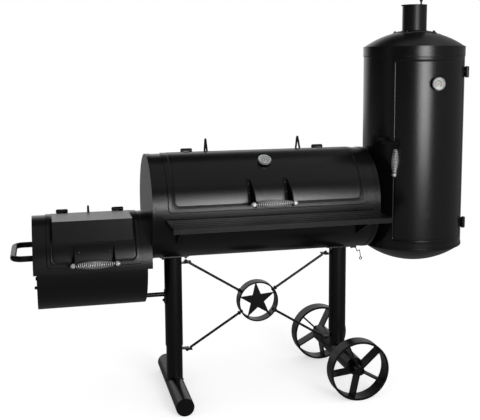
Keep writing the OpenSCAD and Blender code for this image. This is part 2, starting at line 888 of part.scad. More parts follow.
// A wheel of flat bar: a rolled rim, five flat spokes and a hub that turns on the axle
module wheel(y, phase) {
    color(paint) smoker()
        translate([leg_x, y, wheel_r]) rotate([90, 0, 0]) translate([0, 0, -wheel_w / 2])
            difference() {
                union() {
                    tube(wheel_r, wheel_r - rim_band, wheel_w);
                    translate([0, 0, -3]) cylinder(r = 15, h = wheel_w + 6);
                    for (i = [0:4])
                        rotate([0, 0, phase + 72 * i]) translate([10, -2.5, 0.5])
                            cube([wheel_r - rim_band - 9, 5, wheel_w - 1]);
                }
                translate([0, 0, -5]) cylinder(r = axle_r + pin_fit, h = wheel_w + 10);
            }
}

module wheel_front() {
    wheel(-track / 2, 42);
}

module wheel_back() {
    wheel(track / 2, 64);
}

module in_star() {
    translate([0, 0, star_z]) rotate([90, 0, 0]) children();
}

// A five-pointed star welded inside a flat ring
module star_ring() {
    tip = star_r - band_t + 0.5;
    notch = tip * 0.382;
    color(paint) smoker() in_star()
        difference() {
            union() {
                translate([0, 0, -band_w / 2]) tube(star_r, star_r - band_t, band_w);
                translate([0, 0, -2.5]) rotate([0, 0, star_tilt]) linear_extrude(height = 5)
                    polygon([for (i = [0:9]) let (r = i % 2 == 0 ? tip : notch)
                        [r * cos(90 + 36 * i), r * sin(90 + 36 * i)]]);
            }
            for (a = [brace_angle, 180 - brace_angle, 180 + brace_angle, -brace_angle])
                rotate([0, 0, a]) translate([star_r - 12, 0, 0]) rotate([0, 90, 0])
                    cylinder(r = brace_r + pin_fit, h = 24);
        }
}

// Four rods from the star's ring to the legs, each with a flat end on its lug
module brace_rods() {
    reach = lug_x / cos(brace_angle);
    color(paint) smoker()
        for (sx = [-1, 1])
            for (sz = [-1, 1]) {
                in_star() rotate([0, 0, atan2(sz * lug_dz, sx * lug_x)]) translate([star_r - 14, 0, 0])
                    rotate([0, 90, 0]) cylinder(r = brace_r, h = reach - 5 - (star_r - 14));
                translate([sx > 0 ? lug_x - 12 : -lug_x - 16, -11, star_z + sz * lug_dz - (sz > 0 ? 0 : 5)])
                    cube([28, 22, 5]);
            }
}

module firebox_strut() {
    start = fire_right_x;
    finish = -leg_x - leg_r;
    color(paint) smoker()
        difference() {
            union() {
                translate([start, 0, strut_z]) rotate([0, 90, 0])
                    cylinder(r = 8.8, h = finish - start + 10);
                translate([start, -20, strut_z - 12]) cube([3, 40, 24]);
                translate([-leg_x, 0, strut_z - 36]) sector(leg_r, leg_r + 3, 0, 52, 145, 215);
            }
            translate([-leg_x, 0, joint_z]) cylinder(r = leg_r, h = 400);
        }
}

module front_shelf() {
    slat_zone = shelf_reach - strip_t - drum_r - 8;
    pitch = slat_zone / slat_count;
    color(paint) smoker()
        difference() {
            union() {
                translate([shelf_x0, -shelf_reach, shelf_z - strip_h]) cube([shelf_len, strip_t, strip_h]);
                for (x = [shelf_x0, shelf_x1 - strip_t])
                    translate([x, -shelf_reach, shelf_z - strip_h])
                        cube([strip_t, shelf_reach - drum_r + 10, strip_h - slat_t]);
                for (i = [0:slat_count - 1])
                    translate([shelf_x0, -shelf_reach + strip_t + 6 + i * pitch, shelf_z - slat_t])
                        cube([shelf_len, pitch - 9, slat_t]);
            }
            translate([-half_len, 0, 0]) lying(chamber_z) cylinder(r = drum_r, h = chamber_len);
        }
}

// A gusset under each end of the shelf, with a flange to the shelf and one to the chamber
module shelf_brackets() {
    top_z = shelf_z - slat_t;
    color(paint) smoker()
        for (x = [-bracket_x, bracket_x]) {
            difference() {
                union() {
                    translate([x, 0, 0]) rotate([90, 0, 90]) linear_extrude(height = 3)
                        polygon([[-gusset_back, gusset_low], [-gusset_back, top_z],
                                 [-gusset_front, top_z], [-gusset_front, top_z - 10]]);
                    translate([x, -shelf_reach + 10, top_z - 3]) cube([26, 160, 3]);
                }
                translate([-half_len, 0, 0]) lying(chamber_z) cylinder(r = drum_r, h = chamber_len);
                translate([x - 1, 0, 0]) rotate([90, 0, 90]) linear_extrude(height = 5)
                    polygon([[-drum_r - 15, top_z - 14], [-drum_r - 15, top_z - 48],
                             [-gusset_front + 62, top_z - 14]]);
            }
            lying(chamber_z) sector(drum_r, drum_r + 2.5, x, x + 26, -90 + 9, -90 + 36);
        }
}

// ---- bolts and nuts of the standing parts ----

module brace_nuts() {
    for (sx = [-1, 1])
        for (sz = [-1, 1])
            in_star() rotate([0, 0, atan2(sz * lug_dz, sx * lug_x)])
                for (r = [star_r - band_t - 7.6, star_r + 0.1])
                    translate([r, 0, 0]) rotate([0, 90, 0])
                        difference() {
                            cylinder(r = 8.5, h = 7, $fn = 6);
                            translate([0, 0, -1]) cylinder(r = brace_r, h = 9);
                        }
}

// The bolts that hold the rods' flat ends to the lugs
module lug_bolts() {
    for (sx = [-1, 1])
        for (sz = [-1, 1])
            translate([sx * (lug_x + 8), 0, star_z + sz * (lug_dz + 5)])
                rotate([sz > 0 ? 0 : 180, 0, 0]) bolt_head(5);
}

module frame_bolts() {
    color(paint) smoker() {
        brace_nuts();
        lug_bolts();
        for (side = [-1, 1]) {
            translate([side * leg_x, 0, joint_z + 30]) rotate([90, 0, 0]) {
                translate([0, 0, leg_in_r - 6]) cylinder(r = 4, h = 10);
                translate([0, 0, leg_r + 0.01]) cylinder(r = 7, h = 4);
            }
            for (dx = [-45, 45])
                for (a = [-78, -102])
                    on_drum(side * leg_x + dx, chamber_z, a, drum_r + saddle_t) bolt_head(5);
        }
        for (x = [-bracket_x, bracket_x]) {
            on_drum(x + 15, chamber_z, -28, drum_r + 2.5) bolt_head(5);
            translate([x + 15, -300, shelf_z - slat_t - 3]) rotate([180, 0, 0]) bolt_head(5);
        }
        for (side = [-1, 1])
            for (dz = [-28, 28])
                translate([fire_left_x - 3.01, side * pull_y, pull_z + dz]) rotate([0, -90, 0])
                    bolt_head(5);
        for (dz = [-11.5, 11.5])
            on_tower(latch_z + dz, keeper_a, drum_r + 3) bolt_head(5);
        for (sx = [-1, 1])
            for (sy = [-1, 1])
                translate([tower_x, 0, dome_centre_z]) rotate([0, 0, atan2(sy, sx)])
                    rotate([0, asin(58 * sqrt(2) / dome_r), 0]) translate([0, 0, dome_r + 3]) bolt_head(5);
        translate([tower_x, 0, dome_centre_z]) rotate([0, asin(112 / dome_r), 0])
            translate([0, 0, dome_r]) bolt_head(5);
        translate([tower_x, cap_pivot, chimney_top_z - 14]) cylinder(r = 3, h = 18);
        translate([tower_x, cap_pivot, chimney_top_z + 4]) cylinder(r = 6, h = 3);
        translate([fire_left_x - 2.4, 0, vent_z]) rotate([0, 90, 0]) cylinder(r = 4, h = 2.4 + sheet_t);
        translate([fire_left_x - 6.4, 0, vent_z]) rotate([0, 90, 0]) cylinder(r = 7, h = 4);
        translate([-leg_x - leg_r - 3, 0, strut_z - 24]) rotate([0, -90, 0]) bolt_head(5);
    }
}

// ---- main lid ----

module main_lid() {
    half = lid_len / 2;
    inset = frame_inset / lid_out_r * 180 / PI;
    a0 = -90 - lid_top_angle;
    a1 = -90 - lid_low_angle;
    color(paint) smoker()
        difference() {
            lying(chamber_z) panel(lid_in_r, lid_out_r, -half, half, a0, a1, 14);
            lying(chamber_z)
                panel_groove(lid_out_r, frame_inset - half, half - frame_inset, a0 + inset, a1 - inset, 22);
            on_drum(0, chamber_z, main_dial_angle, drum_r - 5) cylinder(r = 4.1, h = 20);
        }
}

module main_hinge_leaves() {
    color(paint) smoker()
        for (x = main_hinge_xs)
            lid_leaf(x - knuckle_len - 0.25, chamber_z, lid_out_r, hinge_r, lid_top_angle);
}

// One ear: a plate across the lid, with a riveted flange on its left
module ear(x, z, r, rod_y, rod_z, top, low) {
    top_y = -r * cos(top);
    top_z = z + r * sin(top);
    low_y = -r * cos(low) + 8;
    low_z = z + r * sin(low);
    difference() {
        union() {
            difference() {
                translate([x - ear_t / 2, 0, 0]) rotate([90, 0, 90]) linear_extrude(height = ear_t)
                    polygon([[top_y + 6, top_z - 4], [top_y, top_z - 3], [rod_y - 8, rod_z + 1],
                             [rod_y - 5, rod_z - 13], [rod_y + 6, rod_z - 11], [low_y, low_z]]);
                lying(z) translate([0, 0, x - 30]) cylinder(r = r + 1, h = 60);
            }
            lying(z) sector(r, r + 2, x - 14, x + ear_t / 2, -90 - top, -88 - low);
        }
        translate([x - 5, rod_y, rod_z]) rotate([0, 90, 0]) cylinder(r = rod_r, h = 10);
    }
}

module main_handle_ears() {
    color(paint) smoker()
        for (side = [-1, 1])
            ear(side * ear_gap / 2, chamber_z, lid_out_r, main_rod_y, main_rod_z, 33.5, 7.5);
}

// A rod with a domed nut on each end
module handle_rod(x, y, z) {
    reach = ear_gap / 2 + ear_t / 2;
    translate([x, y, z]) rotate([0, 90, 0]) {
        translate([0, 0, -reach - 1]) cylinder(r = rod_r, h = 2 * reach + 2);
        for (side = [0, 1])
            mirror([0, 0, side]) translate([0, 0, reach]) domed_nut();
    }
}

module handle_spring(x, y, z) {
    len = ear_gap - ear_t - 1;
    translate([x - len / 2, y, z]) rotate([0, 90, 0])
        coil(len, spring_turns, spring_end_r - wire_d / 2, (spring_d - wire_d) / 2);
}

module main_handle_rod() {
    color(steel) smoker() handle_rod(0, main_rod_y, main_rod_z);
}

module main_handle_spring() {
    color(steel) smoker() handle_spring(0, main_rod_y, main_rod_z);
}

module main_lid_rivets() {
    color(steel) smoker()
        for (side = [-1, 1])
            for (a = [28.5, 18.5, 9.5])
                on_drum(side * ear_gap / 2 - 8, chamber_z, a, lid_out_r + 2) rivet_head(3.2);
}

// ---- thermometers: z = 0 is the outer face that the neck stands on ----

module dial_case(neck) {
    difference() {
        union() {
            translate([0, 0, -45]) cylinder(r = 4, h = 46);
            cylinder(r = 9, h = neck + 1);
            translate([0, 0, neck]) cylinder(r1 = dial_r - 4, r2 = dial_r, h = 4);
            translate([0, 0, neck + 4]) cylinder(r = dial_r, h = case_h - 4);
        }
        translate([0, 0, neck + 5]) cylinder(r = dial_r - 2, h = case_h - 6.5);
        translate([0, 0, neck + 5]) cylinder(r = dial_r - 4, h = case_h);
    }
}

module dial_plate(neck) {
    translate([0, 0, neck + 5]) {
        cylinder(r = dial_r - 2.1, h = 1);
        cylinder(r = 1, h = 3.4);
        for (i = [0:20])
            rotate([0, 0, 225 - 13.5 * i]) translate([dial_r - (i % 5 == 0 ? 9 : 7), -0.25, 0.9])
                cube([i % 5 == 0 ? 5 : 3, 0.5, 0.4]);
    }
}

module dial_glass(neck) {
    translate([0, 0, neck + case_h - 3]) cylinder(r = dial_r - 2.1, h = 1.5);
}

module dial_needle(neck) {
    translate([0, 0, neck + 6.8])
        difference() {
            union() {
                cylinder(r = 2.6, h = 1);
                rotate([0, 0, 225]) linear_extrude(height = 1)
                    polygon([[-5, -1], [-5, 1], [dial_r - 8, 0.3], [dial_r - 8, -0.3]]);
            }
            translate([0, 0, -1]) cylinder(r = 1.05, h = 3);
        }
}

module on_main_dial() {
    smoker() on_drum(0, chamber_z, main_dial_angle, lid_out_r) children();
}

module on_tower_dial() {
    smoker() on_tower(tower_dial_z, -90, lid_out_r) children();
}

module main_thermometer_case() {
    color(steel) on_main_dial() dial_case(main_neck);
}

module main_thermometer_dial() {
    color("white") on_main_dial() dial_plate(main_neck);
}

module main_thermometer_glass() {
    color([0.9, 0.95, 1, 0.3]) on_main_dial() dial_glass(main_neck);
}

module main_thermometer_needle() {
    color("red") on_main_dial() dial_needle(main_neck);
}

// ---- fire box lid ----

module firebox_lid() {
    half = firebox_lid_len / 2;
    edge = frame_inset - 9;
    inset = edge / fire_lid_out_r * 180 / PI;
    a0 = -90 - fire_lid_top;
    a1 = -90 - fire_lid_low;
    color(paint) smoker()
        translate([fire_lid_x, 0, 0]) lying(firebox_z)
            difference() {
                panel(fire_lid_in_r, fire_lid_out_r, -half, half, a0, a1, 14);
                panel_groove(fire_lid_out_r, edge - half, half - edge, a0 + inset, a1 - inset * 1.4, 20);
            }
}

// A flat-topped box in folded sheet that stands on the lid
module firebox_lid_box() {
    color(paint) smoker()
        difference() {
            translate([fire_lid_x - 2 - lid_box_len / 2, -lid_box_depth, firebox_z + 60])
                cube([lid_box_len, lid_box_depth, box_top_z - firebox_z - 60]);
            translate([fire_lid_x - lid_box_len / 2, -lid_box_depth + 2, firebox_z + 50])
                cube([lid_box_len - 4, lid_box_depth + 10, box_top_z - firebox_z - 52]);
            translate([fire_lid_x, 0, 0]) lying(firebox_z)
                translate([0, 0, -lid_box_len]) cylinder(r = fire_lid_out_r, h = 2 * lid_box_len);
        }
}

module firebox_hinge_leaves() {
    color(paint) smoker()
        for (x = fire_hinge_xs)
            lid_leaf(x - knuckle_len - 0.25, firebox_z, fire_lid_out_r, fire_hinge_r, fire_lid_top);
}

// A riveted plate between two ears that carry the rod
module firebox_handle_bracket() {
    half = ear_gap / 2;
    top = 31;
    low = 10;
    color(paint) smoker() translate([fire_lid_x, 0, 0]) {
        for (side = [-1, 1])
            ear(side * half, firebox_z, fire_lid_out_r, fire_rod_y, fire_rod_z, top, low);
        lying(firebox_z)
            sector(fire_lid_out_r, fire_lid_out_r + 2, -half, half, -90 - top, -88 - low);
    }
}

module firebox_handle_rod() {
    color(steel) smoker() handle_rod(fire_lid_x, fire_rod_y, fire_rod_z);
}

module firebox_handle_spring() {
    color(steel) smoker() handle_spring(fire_lid_x, fire_rod_y, fire_rod_z);
}

module firebox_lid_rivets() {
    color(steel) smoker()
        for (side = [-1, 1])
            on_drum(fire_lid_x + side * (ear_gap / 2 - 16), firebox_z, 22, fire_lid_out_r + 2)
                rivet_head(4);
}

// ---- tower door and latch ----

module tower_door() {
    inset = (frame_inset - 17) / lid_out_r * 180 / PI;
    color(paint) smoker()
        difference() {
            at_tower() panel(lid_in_r, lid_out_r, door_z0, door_z1, door_a0, door_a1, 14);
            at_tower()
                panel_groove(lid_out_r, door_z0 + 10, door_z1 - 10, door_a0 + inset, door_a1 - inset, 20);
            on_tower(tower_dial_z, -90, drum_r - 5) cylinder(r = 4.1, h = 20);
        }
}

module door_hinge_leaves() {
    color(paint) smoker()
        for (z = door_hinge_zs)
            difference() {
                union() {
                    on_tower(z, door_hinge_a, hinge_r) rotate([90, 0, 0])
                        translate([0, 0, -knuckle_len - 0.25]) cylinder(r = knuckle_r, h = knuckle_len);
                    at_tower() sector(lid_out_r, lid_out_r + strap_t, z + 0.25, z + 0.25 + knuckle_len,
                                      door_a1 - 6, door_hinge_a);
                }
                on_tower(z, door_hinge_a, hinge_r) rotate([90, 0, 0])
                    translate([0, 0, -30]) cylinder(r = pin_r + pin_fit, h = 60);
            }
}

// A riveted plate on the door with the stud that the latch turns on
module latch_base() {
    color(paint) smoker() on_tower(latch_z, latch_a, 0) {
        translate([-10, -17, lid_out_r]) cube([20, 34, 2.8]);
        translate([0, 0, lid_out_r + 2]) cylinder(r = 4, h = latch_plane + 4.3 - lid_out_r - 2);
        translate([0, 0, latch_plane + 4.3]) cylinder(r = 7, h = 2.5);
        for (dy = [-12.5, 12.5])
            translate([0, dy, lid_out_r + 2]) cylinder(r = 3.2, h = 2.4);
    }
}

// The latch: a hub, a tongue to the left and a rod that hangs down inside the spring
module latch_lever() {
    color(paint) smoker() on_tower(latch_z, latch_a, latch_plane)
        difference() {
            union() {
                translate([0, 0, -4]) cylinder(r = 9, h = 8);
                translate([-tongue_len, -tongue_half, 0.5]) cube([tongue_len, 2 * tongue_half, 3]);
                rotate([0, 0, -latch_tilt]) {
                    translate([-6, -22, -3]) cube([12, 22, 6]);
                    translate([-6, -22, -3]) cube([12, 10, grip_out + 7]);
                    translate([0, -18, grip_out]) rotate([90, 0, 0]) cylinder(r = rod_r - 1, h = 104);
                    translate([0, -120, grip_out]) rotate([90, 0, 0]) domed_nut(8);
                }
            }
            translate([0, 0, -6]) cylinder(r = 4 + pin_fit, h = 12);
        }
}

module latch_spring() {
    color(steel) smoker() on_tower(latch_z, latch_a, latch_plane)
        rotate([0, 0, -latch_tilt]) translate([0, -22.3, grip_out]) rotate([90, 0, 0])
            coil(97.4, 15, latch_end_r - wire_d / 2, latch_mid_r - wire_d / 2);
}

module tower_thermometer_case() {
    color(steel) on_tower_dial() dial_case(tower_neck);
}

module tower_thermometer_dial() {
    color("white") on_tower_dial() dial_plate(tower_neck);
}

module tower_thermometer_glass() {
    color([0.9, 0.95, 1, 0.3]) on_tower_dial() dial_glass(tower_neck);
}

module tower_thermometer_needle() {
    color("red") on_tower_dial() dial_needle(tower_neck);
}

// ---- small moving parts ----

// A turning disc that covers or frees the three air holes
module vent_damper() {
    color(paint) smoker()
        translate([fire_left_x - 2, 0, vent_z]) rotate([0, 90, 0])
            difference() {
                union() {
                    cylinder(r = 50, h = 1.6);
                    translate([36, 0, -9]) cylinder(r = 6, h = 9.5);
                }
                translate([0, 0, -1]) vent_holes(vent_hole_r, 4);
                translate([0, 0, -1]) cylinder(r = 4 + pin_fit, h = 4);
            }
}

// A bent wire that hangs in the drain spout and ends in an eye for a drip bucket
module drain_hook() {
    bends = [[0, 0], [8, -20], [19, -15], [24, -45]];
    eye = 5;
    color(paint) smoker() translate([hook_x, 0, hook_z]) rotate([90, 0, 0]) {
        translate([0, 0, -10]) cylinder(r = hook_wire, h = 23, $fn = 24);
        translate([0, 0, -11]) cylinder(r = 3, h = 1.5);
        for (i = [0:2])
            translate([0, 0, 11]) bar_between(bends[i], bends[i + 1], hook_wire - 0.06 * (i + 1));
        translate([bends[3][0], bends[3][1] - eye, 11])
            rotate_extrude() translate([eye, 0]) circle(r = hook_wire, $fn = 24);
    }
}

// A straight wire between two points of a plane, a little longer than their distance
module bar_between(p, q, r) {
    d = q - p;
    over = 0.9;
    translate([p[0], p[1], 0]) rotate([0, 0, atan2(d[1], d[0])]) rotate([0, 90, 0])
        translate([0, 0, -over]) cylinder(r = r, h = norm(d) + 2 * over, $fn = 24);
}

chamber_shell();
chamber_end_left();
chamber_end_right();
grate_supports();
cooking_grates();
hinge_frame_leaves();
hinge_pins();
lid_stops();
firebox_body();
firebox_hood();
charcoal_grate();
pull_handle();
tower_shell();
tower_bottom();
tower_top();
smoking_racks();
door_keeper();
chimney_pipe();
leg_left();
leg_right();
foot_tube();
axle_tube();
axle();
star_ring();
brace_rods();
firebox_strut();
front_shelf();
shelf_brackets();
frame_bolts();
main_lid();
main_hinge_leaves();
main_handle_ears();
main_handle_rod();
main_handle_spring();
main_lid_rivets();
main_thermometer_case();
main_thermometer_dial();
main_thermometer_glass();
main_thermometer_needle();
firebox_lid();
firebox_lid_box();
firebox_hinge_leaves();
firebox_handle_bracket();
firebox_handle_rod();
firebox_handle_spring();
firebox_lid_rivets();
tower_door();
door_hinge_leaves();
latch_base();
tower_thermometer_case();
tower_thermometer_dial();
tower_thermometer_glass();
tower_thermometer_needle();
latch_lever();
latch_spring();
wheel_front();
wheel_back();
vent_damper();
chimney_cap();
drain_hook();
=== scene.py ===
"""Finishes, fine pieces, studio light and camera for the offset smoker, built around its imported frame.

Every length is in metres and every place is in the frame's own axes: +X from the fire box to the tower,
+Y from the shelf to the back, +Z up. The solids whose shape is right are dressed where they are. The coil
grips, pressed lids and door, rolled wheels and star ring, handle ears and bent stops are made here in their
place. The script also prints the dials, lays the weld beads and sets up the studio.
"""

import json
import logging
import math
from dataclasses import dataclass, field
from enum import Enum
from typing import Any, Callable, Sequence, Union

import bmesh
import bpy
from mathutils import Matrix, Vector


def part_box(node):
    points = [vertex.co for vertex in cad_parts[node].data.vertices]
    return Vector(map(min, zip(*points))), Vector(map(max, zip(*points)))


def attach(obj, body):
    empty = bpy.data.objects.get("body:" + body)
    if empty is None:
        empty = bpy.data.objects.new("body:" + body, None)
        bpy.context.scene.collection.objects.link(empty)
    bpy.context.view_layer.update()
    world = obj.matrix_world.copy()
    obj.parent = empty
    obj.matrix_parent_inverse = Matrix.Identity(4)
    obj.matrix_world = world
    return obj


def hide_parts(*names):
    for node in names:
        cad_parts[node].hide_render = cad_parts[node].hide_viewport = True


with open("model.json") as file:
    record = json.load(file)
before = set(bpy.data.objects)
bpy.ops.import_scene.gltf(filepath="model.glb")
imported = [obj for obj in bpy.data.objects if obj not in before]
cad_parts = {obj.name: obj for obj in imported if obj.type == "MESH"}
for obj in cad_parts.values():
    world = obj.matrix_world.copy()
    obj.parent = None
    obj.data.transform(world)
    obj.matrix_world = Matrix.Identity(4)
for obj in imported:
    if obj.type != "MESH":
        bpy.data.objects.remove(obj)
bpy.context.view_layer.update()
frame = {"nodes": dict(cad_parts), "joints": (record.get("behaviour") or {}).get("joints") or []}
LOG = logging.getLogger("offset_smoker")

Number = Union[int, float]
Triple = tuple[float, float, float]

X_AXIS, Y_AXIS, Z_AXIS = Vector((1, 0, 0)), Vector((0, 1, 0)), Vector((0, 0, 1))

# Edges sharper than these many degrees stay crisp
PLATE_CREASE = 35.0
TURNED_CREASE = 40.0
SHEET_CREASE = 50.0
WIRE_CREASE = 60.0
WELD_CREASE = 70.0


class Body(str, Enum):
    """The moving bodies that pieces ride on."""

    STANDING_FRAME = "standing_frame"
    MAIN_LID = "main_lid"
    FIREBOX_LID = "firebox_lid"
    TOWER_DOOR = "tower_door"
    LATCH = "latch"
    FRONT_WHEEL = "front_wheel"
    BACK_WHEEL = "back_wheel"


class Slot(str, Enum):
    """The record's material slots."""

    PAINT = "paint"
    BRIGHT_STEEL = "bright_steel"
    DIAL_FACE = "dial_face"


# ---- shader expressions ----


class Wire:
    """One output socket of a material's nodes, with arithmetic that adds Math nodes."""

    def __init__(self, board: "Board", socket: bpy.types.NodeSocket) -> None:
        """Keep the board that the socket is on, and the socket.

        Args:
            board: The board that new nodes go on.
            socket: The output socket that this wire starts from.
        """
        self.board = board
        self.socket = socket

    def _math(self, operation: str, *values: "Operand") -> "Wire":
        """Add one Math node.

        Args:
            operation: The Math node's operation.
            values: Its inputs in order, each a number or a wire.

        Returns:
            The node's output.
        """
        return self.board.node("ShaderNodeMath", {"operation": operation}, dict(enumerate(values)))

    def __add__(self, other: "Operand") -> "Wire":
        """Sum of two values."""
        return self._math("ADD", self, other)

    __radd__ = __add__

    def __sub__(self, other: "Operand") -> "Wire":
        """This value less the other."""
        return self._math("SUBTRACT", self, other)

    def __rsub__(self, other: "Operand") -> "Wire":
        """The other value less this one."""
        return self._math("SUBTRACT", other, self)

    def __mul__(self, other: "Operand") -> "Wire":
        """Product of two values."""
        return self._math("MULTIPLY", self, other)

    def __truediv__(self, other: "Operand") -> "Wire":
        """This value divided by the other."""
        return self._math("DIVIDE", self, other)

    def __pow__(self, other: "Operand") -> "Wire":
        """This value to a power."""
        return self._math("POWER", self, other)

    def __gt__(self, other: "Operand") -> "Wire":
        """1 where this value is larger than the other, else 0."""
        return self._math("GREATER_THAN", self, other)

    def __lt__(self, other: "Operand") -> "Wire":
        """1 where this value is smaller than the other, else 0."""
        return self._math("LESS_THAN", self, other)

    def between(self, low: float, high: float) -> "Wire":
        """A soft step from 0 at low to 1 at high.

        Args:
            low: The value that gives 0.
            high: The value that gives 1.

        Returns:
            The stepped value, held between 0 and 1.
        """
        return self.board.node(
            "ShaderNodeMapRange",
            {"interpolation_type": "SMOOTHSTEP", "clamp": True},
            {"Value": self, "From Min": low, "From Max": high, "To Min": 0.0, "To Max": 1.0},
            "Result",
        )


Operand = Union[Wire, Number]


class Board:
    """A material's nodes, with the few calls that all finishes are written in."""

    def __init__(self, tree: bpy.types.NodeTree) -> None:
        """Start on an empty tree.

        Args:
            tree: The node tree to fill.
        """
        tree.nodes.clear()
        self.tree = tree

    def node(
        self,
        kind: str,
        settings: dict[str, Any] | None = None,
        inputs: dict[Union[str, int], Any] | None = None,
        output: Union[str, int] = 0,
    ) -> Wire:
        """Add a node, set its settings, then its inputs.

        Args:
            kind: The node's type name.
            settings: Its settings; "stops" are a ramp's places and colours.
            inputs: A number, colour, vector or wire for each socket, by name or index.
            output: The output socket that is wanted, by name or index.

        Returns:
            The chosen output as a wire.
        """
        made = self.tree.nodes.new(kind)
        for name, value in (settings or {}).items():
            if name == "stops":
                self._set_stops(made.color_ramp, value)
            else:
                setattr(made, name, value)
        for key, value in (inputs or {}).items():
            if isinstance(value, Wire):
                self.tree.links.new(value.socket, made.inputs[key])
            else:
                made.inputs[key].default_value = value
        return Wire(self, made.outputs[output]) if len(made.outputs) else Wire(self, made.inputs[0])

    @staticmethod
    def _set_stops(ramp: bpy.types.ColorRamp, stops: Sequence[tuple[float, Triple]]) -> None:
        """Give a ramp its stops.

        Args:
            ramp: The ramp to change.
            stops: Place and colour of each stop, at least two, in rising order.
        """
        while len(ramp.elements) < len(stops):
            ramp.elements.new(1.0)
        for element, (place, colour) in zip(ramp.elements, stops):
            element.position = place
            element.color = (*colour, 1.0)

    def place(self) -> Wire:
        """The point on the surface, in metres in the frame's axes at rest."""
        return self.node("ShaderNodeTexCoord", {}, {}, "Object")

    def noise(
        self, scale: float, detail: float = 3.0, rough: float = 0.5, stretch: Triple = (1.0, 1.0, 1.0)
    ) -> Wire:
        """Even noise over the surface.

        Args:
            scale: Number of cells to a metre.
            detail: Number of finer layers on top.
            rough: Strength of the finer layers.
            stretch: How much faster the noise runs along X, Y and Z.

        Returns:
            The noise, from 0 to 1.
        """
        place = self.vector("MULTIPLY", self.place(), stretch)
        inputs = {"Vector": place, "Scale": scale, "Detail": detail, "Roughness": rough}
        return self.node("ShaderNodeTexNoise", {"noise_dimensions": "3D"}, inputs, "Fac")

    def plating(self, lines: Triple = (1.0, 1.0, 1.0)) -> tuple[Wire, Wire]:
        """The unevenness of plated steel.

        Args:
            lines: How much faster the draw lines run along X, Y and Z.

        Returns:
            The cloud of stains and the fine draw lines, each from 0 to 1.
        """
        cloud = self.noise(scale=160.0, detail=3.0, rough=0.6)
        return cloud, self.noise(scale=900.0, detail=2.0, rough=0.5, stretch=lines)

    def reach(self, centre: Triple, direction: Triple) -> Wire:
        """How far the point on the surface lies from a centre, measured along a direction.

        Args:
            centre: The centre.
            direction: The unit vector to measure along.

        Returns:
            The distance in metres, below 0 on the other side.
        """
        return self.vector("DOT_PRODUCT", self.vector("SUBTRACT", self.place(), centre), direction, "Value")

    def ray(self, kind: str) -> Wire:
        """Tell one kind of ray from the others.

        Args:
            kind: An output of the Light Path node.

        Returns:
            1 for rays of this kind, else 0.
        """
        return self.node("ShaderNodeLightPath", {}, {}, kind)

    def vector(
        self, operation: str, first: Any, second: Any = (0.0, 0.0, 0.0), output: Union[str, int] = 0
    ) -> Wire:
        """One Vector Math node.

        Args:
            operation: The node's operation.
            first: Its first vector.
            second: Its second vector.
            output: "Vector" or "Value".

        Returns:
            The chosen output.
        """
        return self.node("ShaderNodeVectorMath", {"operation": operation}, {0: first, 1: second}, output)

    def blend(self, share: Operand, low: Any, high: Any) -> Wire:
        """Mix two colours.

        Args:
            share: 0 gives low and 1 gives high.
            low: The first colour, as three numbers or a wire.
            high: The second colour.

        Returns:
            The mixed colour.
        """
        sides = {6: low, 7: high}
        filled = {k: v if isinstance(v, Wire) else (*v, 1.0) for k, v in sides.items()}
        return self.node("ShaderNodeMix", {"data_type": "RGBA"}, {0: share, **filled}, 2)

    def bump(self, height: Wire, distance: float, strength: float = 1.0, over: Wire | None = None) -> Wire:
        """Turn a height from 0 to 1 into a bent normal.

        Args:
            height: The height.
            distance: Metres between height 0 and height 1.
            strength: Share of the effect.
            over: A normal that this bump is laid over.

        Returns:
            The normal.
        """
        inputs: dict[Union[str, int], Any] = {"Height": height, "Distance": distance, "Strength": strength}
        if over is not None:
            inputs["Normal"] = over
        return self.node("ShaderNodeBump", {}, inputs, "Normal")

    def surface(self, **sockets: Any) -> None:
        """Add the surface shader and join it to the output.

        Args:
            sockets: Values or wires of the shader's sockets, with _ for a space in their names.
        """
        inputs = {name.replace("_", " "): value for name, value in sockets.items()}
        shader = self.node("ShaderNodeBsdfPrincipled", {}, inputs, "BSDF")
        self.node("ShaderNodeOutputMaterial", {}, {"Surface": shader})


# ---- finishes ----


@dataclass(frozen=True)
class Finish:
    """A finish that pieces share. Each kind fills a board in its own way."""

    name: str

    def draw(self, board: Board) -> None:
        """Fill the material's nodes."""
        raise NotImplementedError

    def material(self) -> bpy.types.Material:
        """The Blender material of this finish, made on first use.

        Returns:
            The material.
        """
        found = bpy.data.materials.get(self.name)
        if found is None:
            found = bpy.data.materials.new(self.name)
            found.use_nodes = True
            self.draw(Board(found.node_tree))
        return found


@dataclass(frozen=True)
class HeatPaint(Finish):
    """Black heat-resistant paint: a fine dry grain, uneven gloss, thin dust and worn specks."""

    tone: float = 0.0028
    warm: float = 0.0
    rough: float = 0.22
    gloss: float = 0.5
    grain: float = 0.00009
    dust: float = 0.12

    def draw(self, board: Board) -> None:
        """Fill the nodes with the paint's colour, gloss and grain."""
        cloud = board.noise(scale=5.0, detail=4.0, rough=0.55)
        mottle = board.noise(scale=60.0, detail=3.0, rough=0.6)
        grain = board.noise(scale=1500.0, detail=2.0, rough=0.6)
        peel = board.noise(scale=420.0, detail=2.0, rough=0.5)
        dark = (self.tone * 0.8, self.tone * 0.8, self.tone * (0.8 - self.warm))
        light = (self.tone * 1.25, self.tone * 1.25, self.tone * (1.25 - self.warm))
        colour = board.blend(cloud * 0.6 + mottle * 0.4, dark, light)
        speck = board.noise(scale=700.0, detail=1.0, rough=0.5).between(0.70, 0.78)
        dusty = (0.085, 0.083, 0.08)
        colour = board.blend(speck * cloud.between(0.4, 0.7) * self.dust, colour, dusty)
        rough = self.rough - 0.05 + mottle * 0.06 + grain * 0.05 + cloud * 0.04
        fine = board.bump(grain, self.grain)
        normal = board.bump(peel, self.grain * 1.6, 0.7, fine)
        board.surface(Base_Color=colour, Roughness=rough, Normal=normal, Specular_IOR_Level=self.gloss)


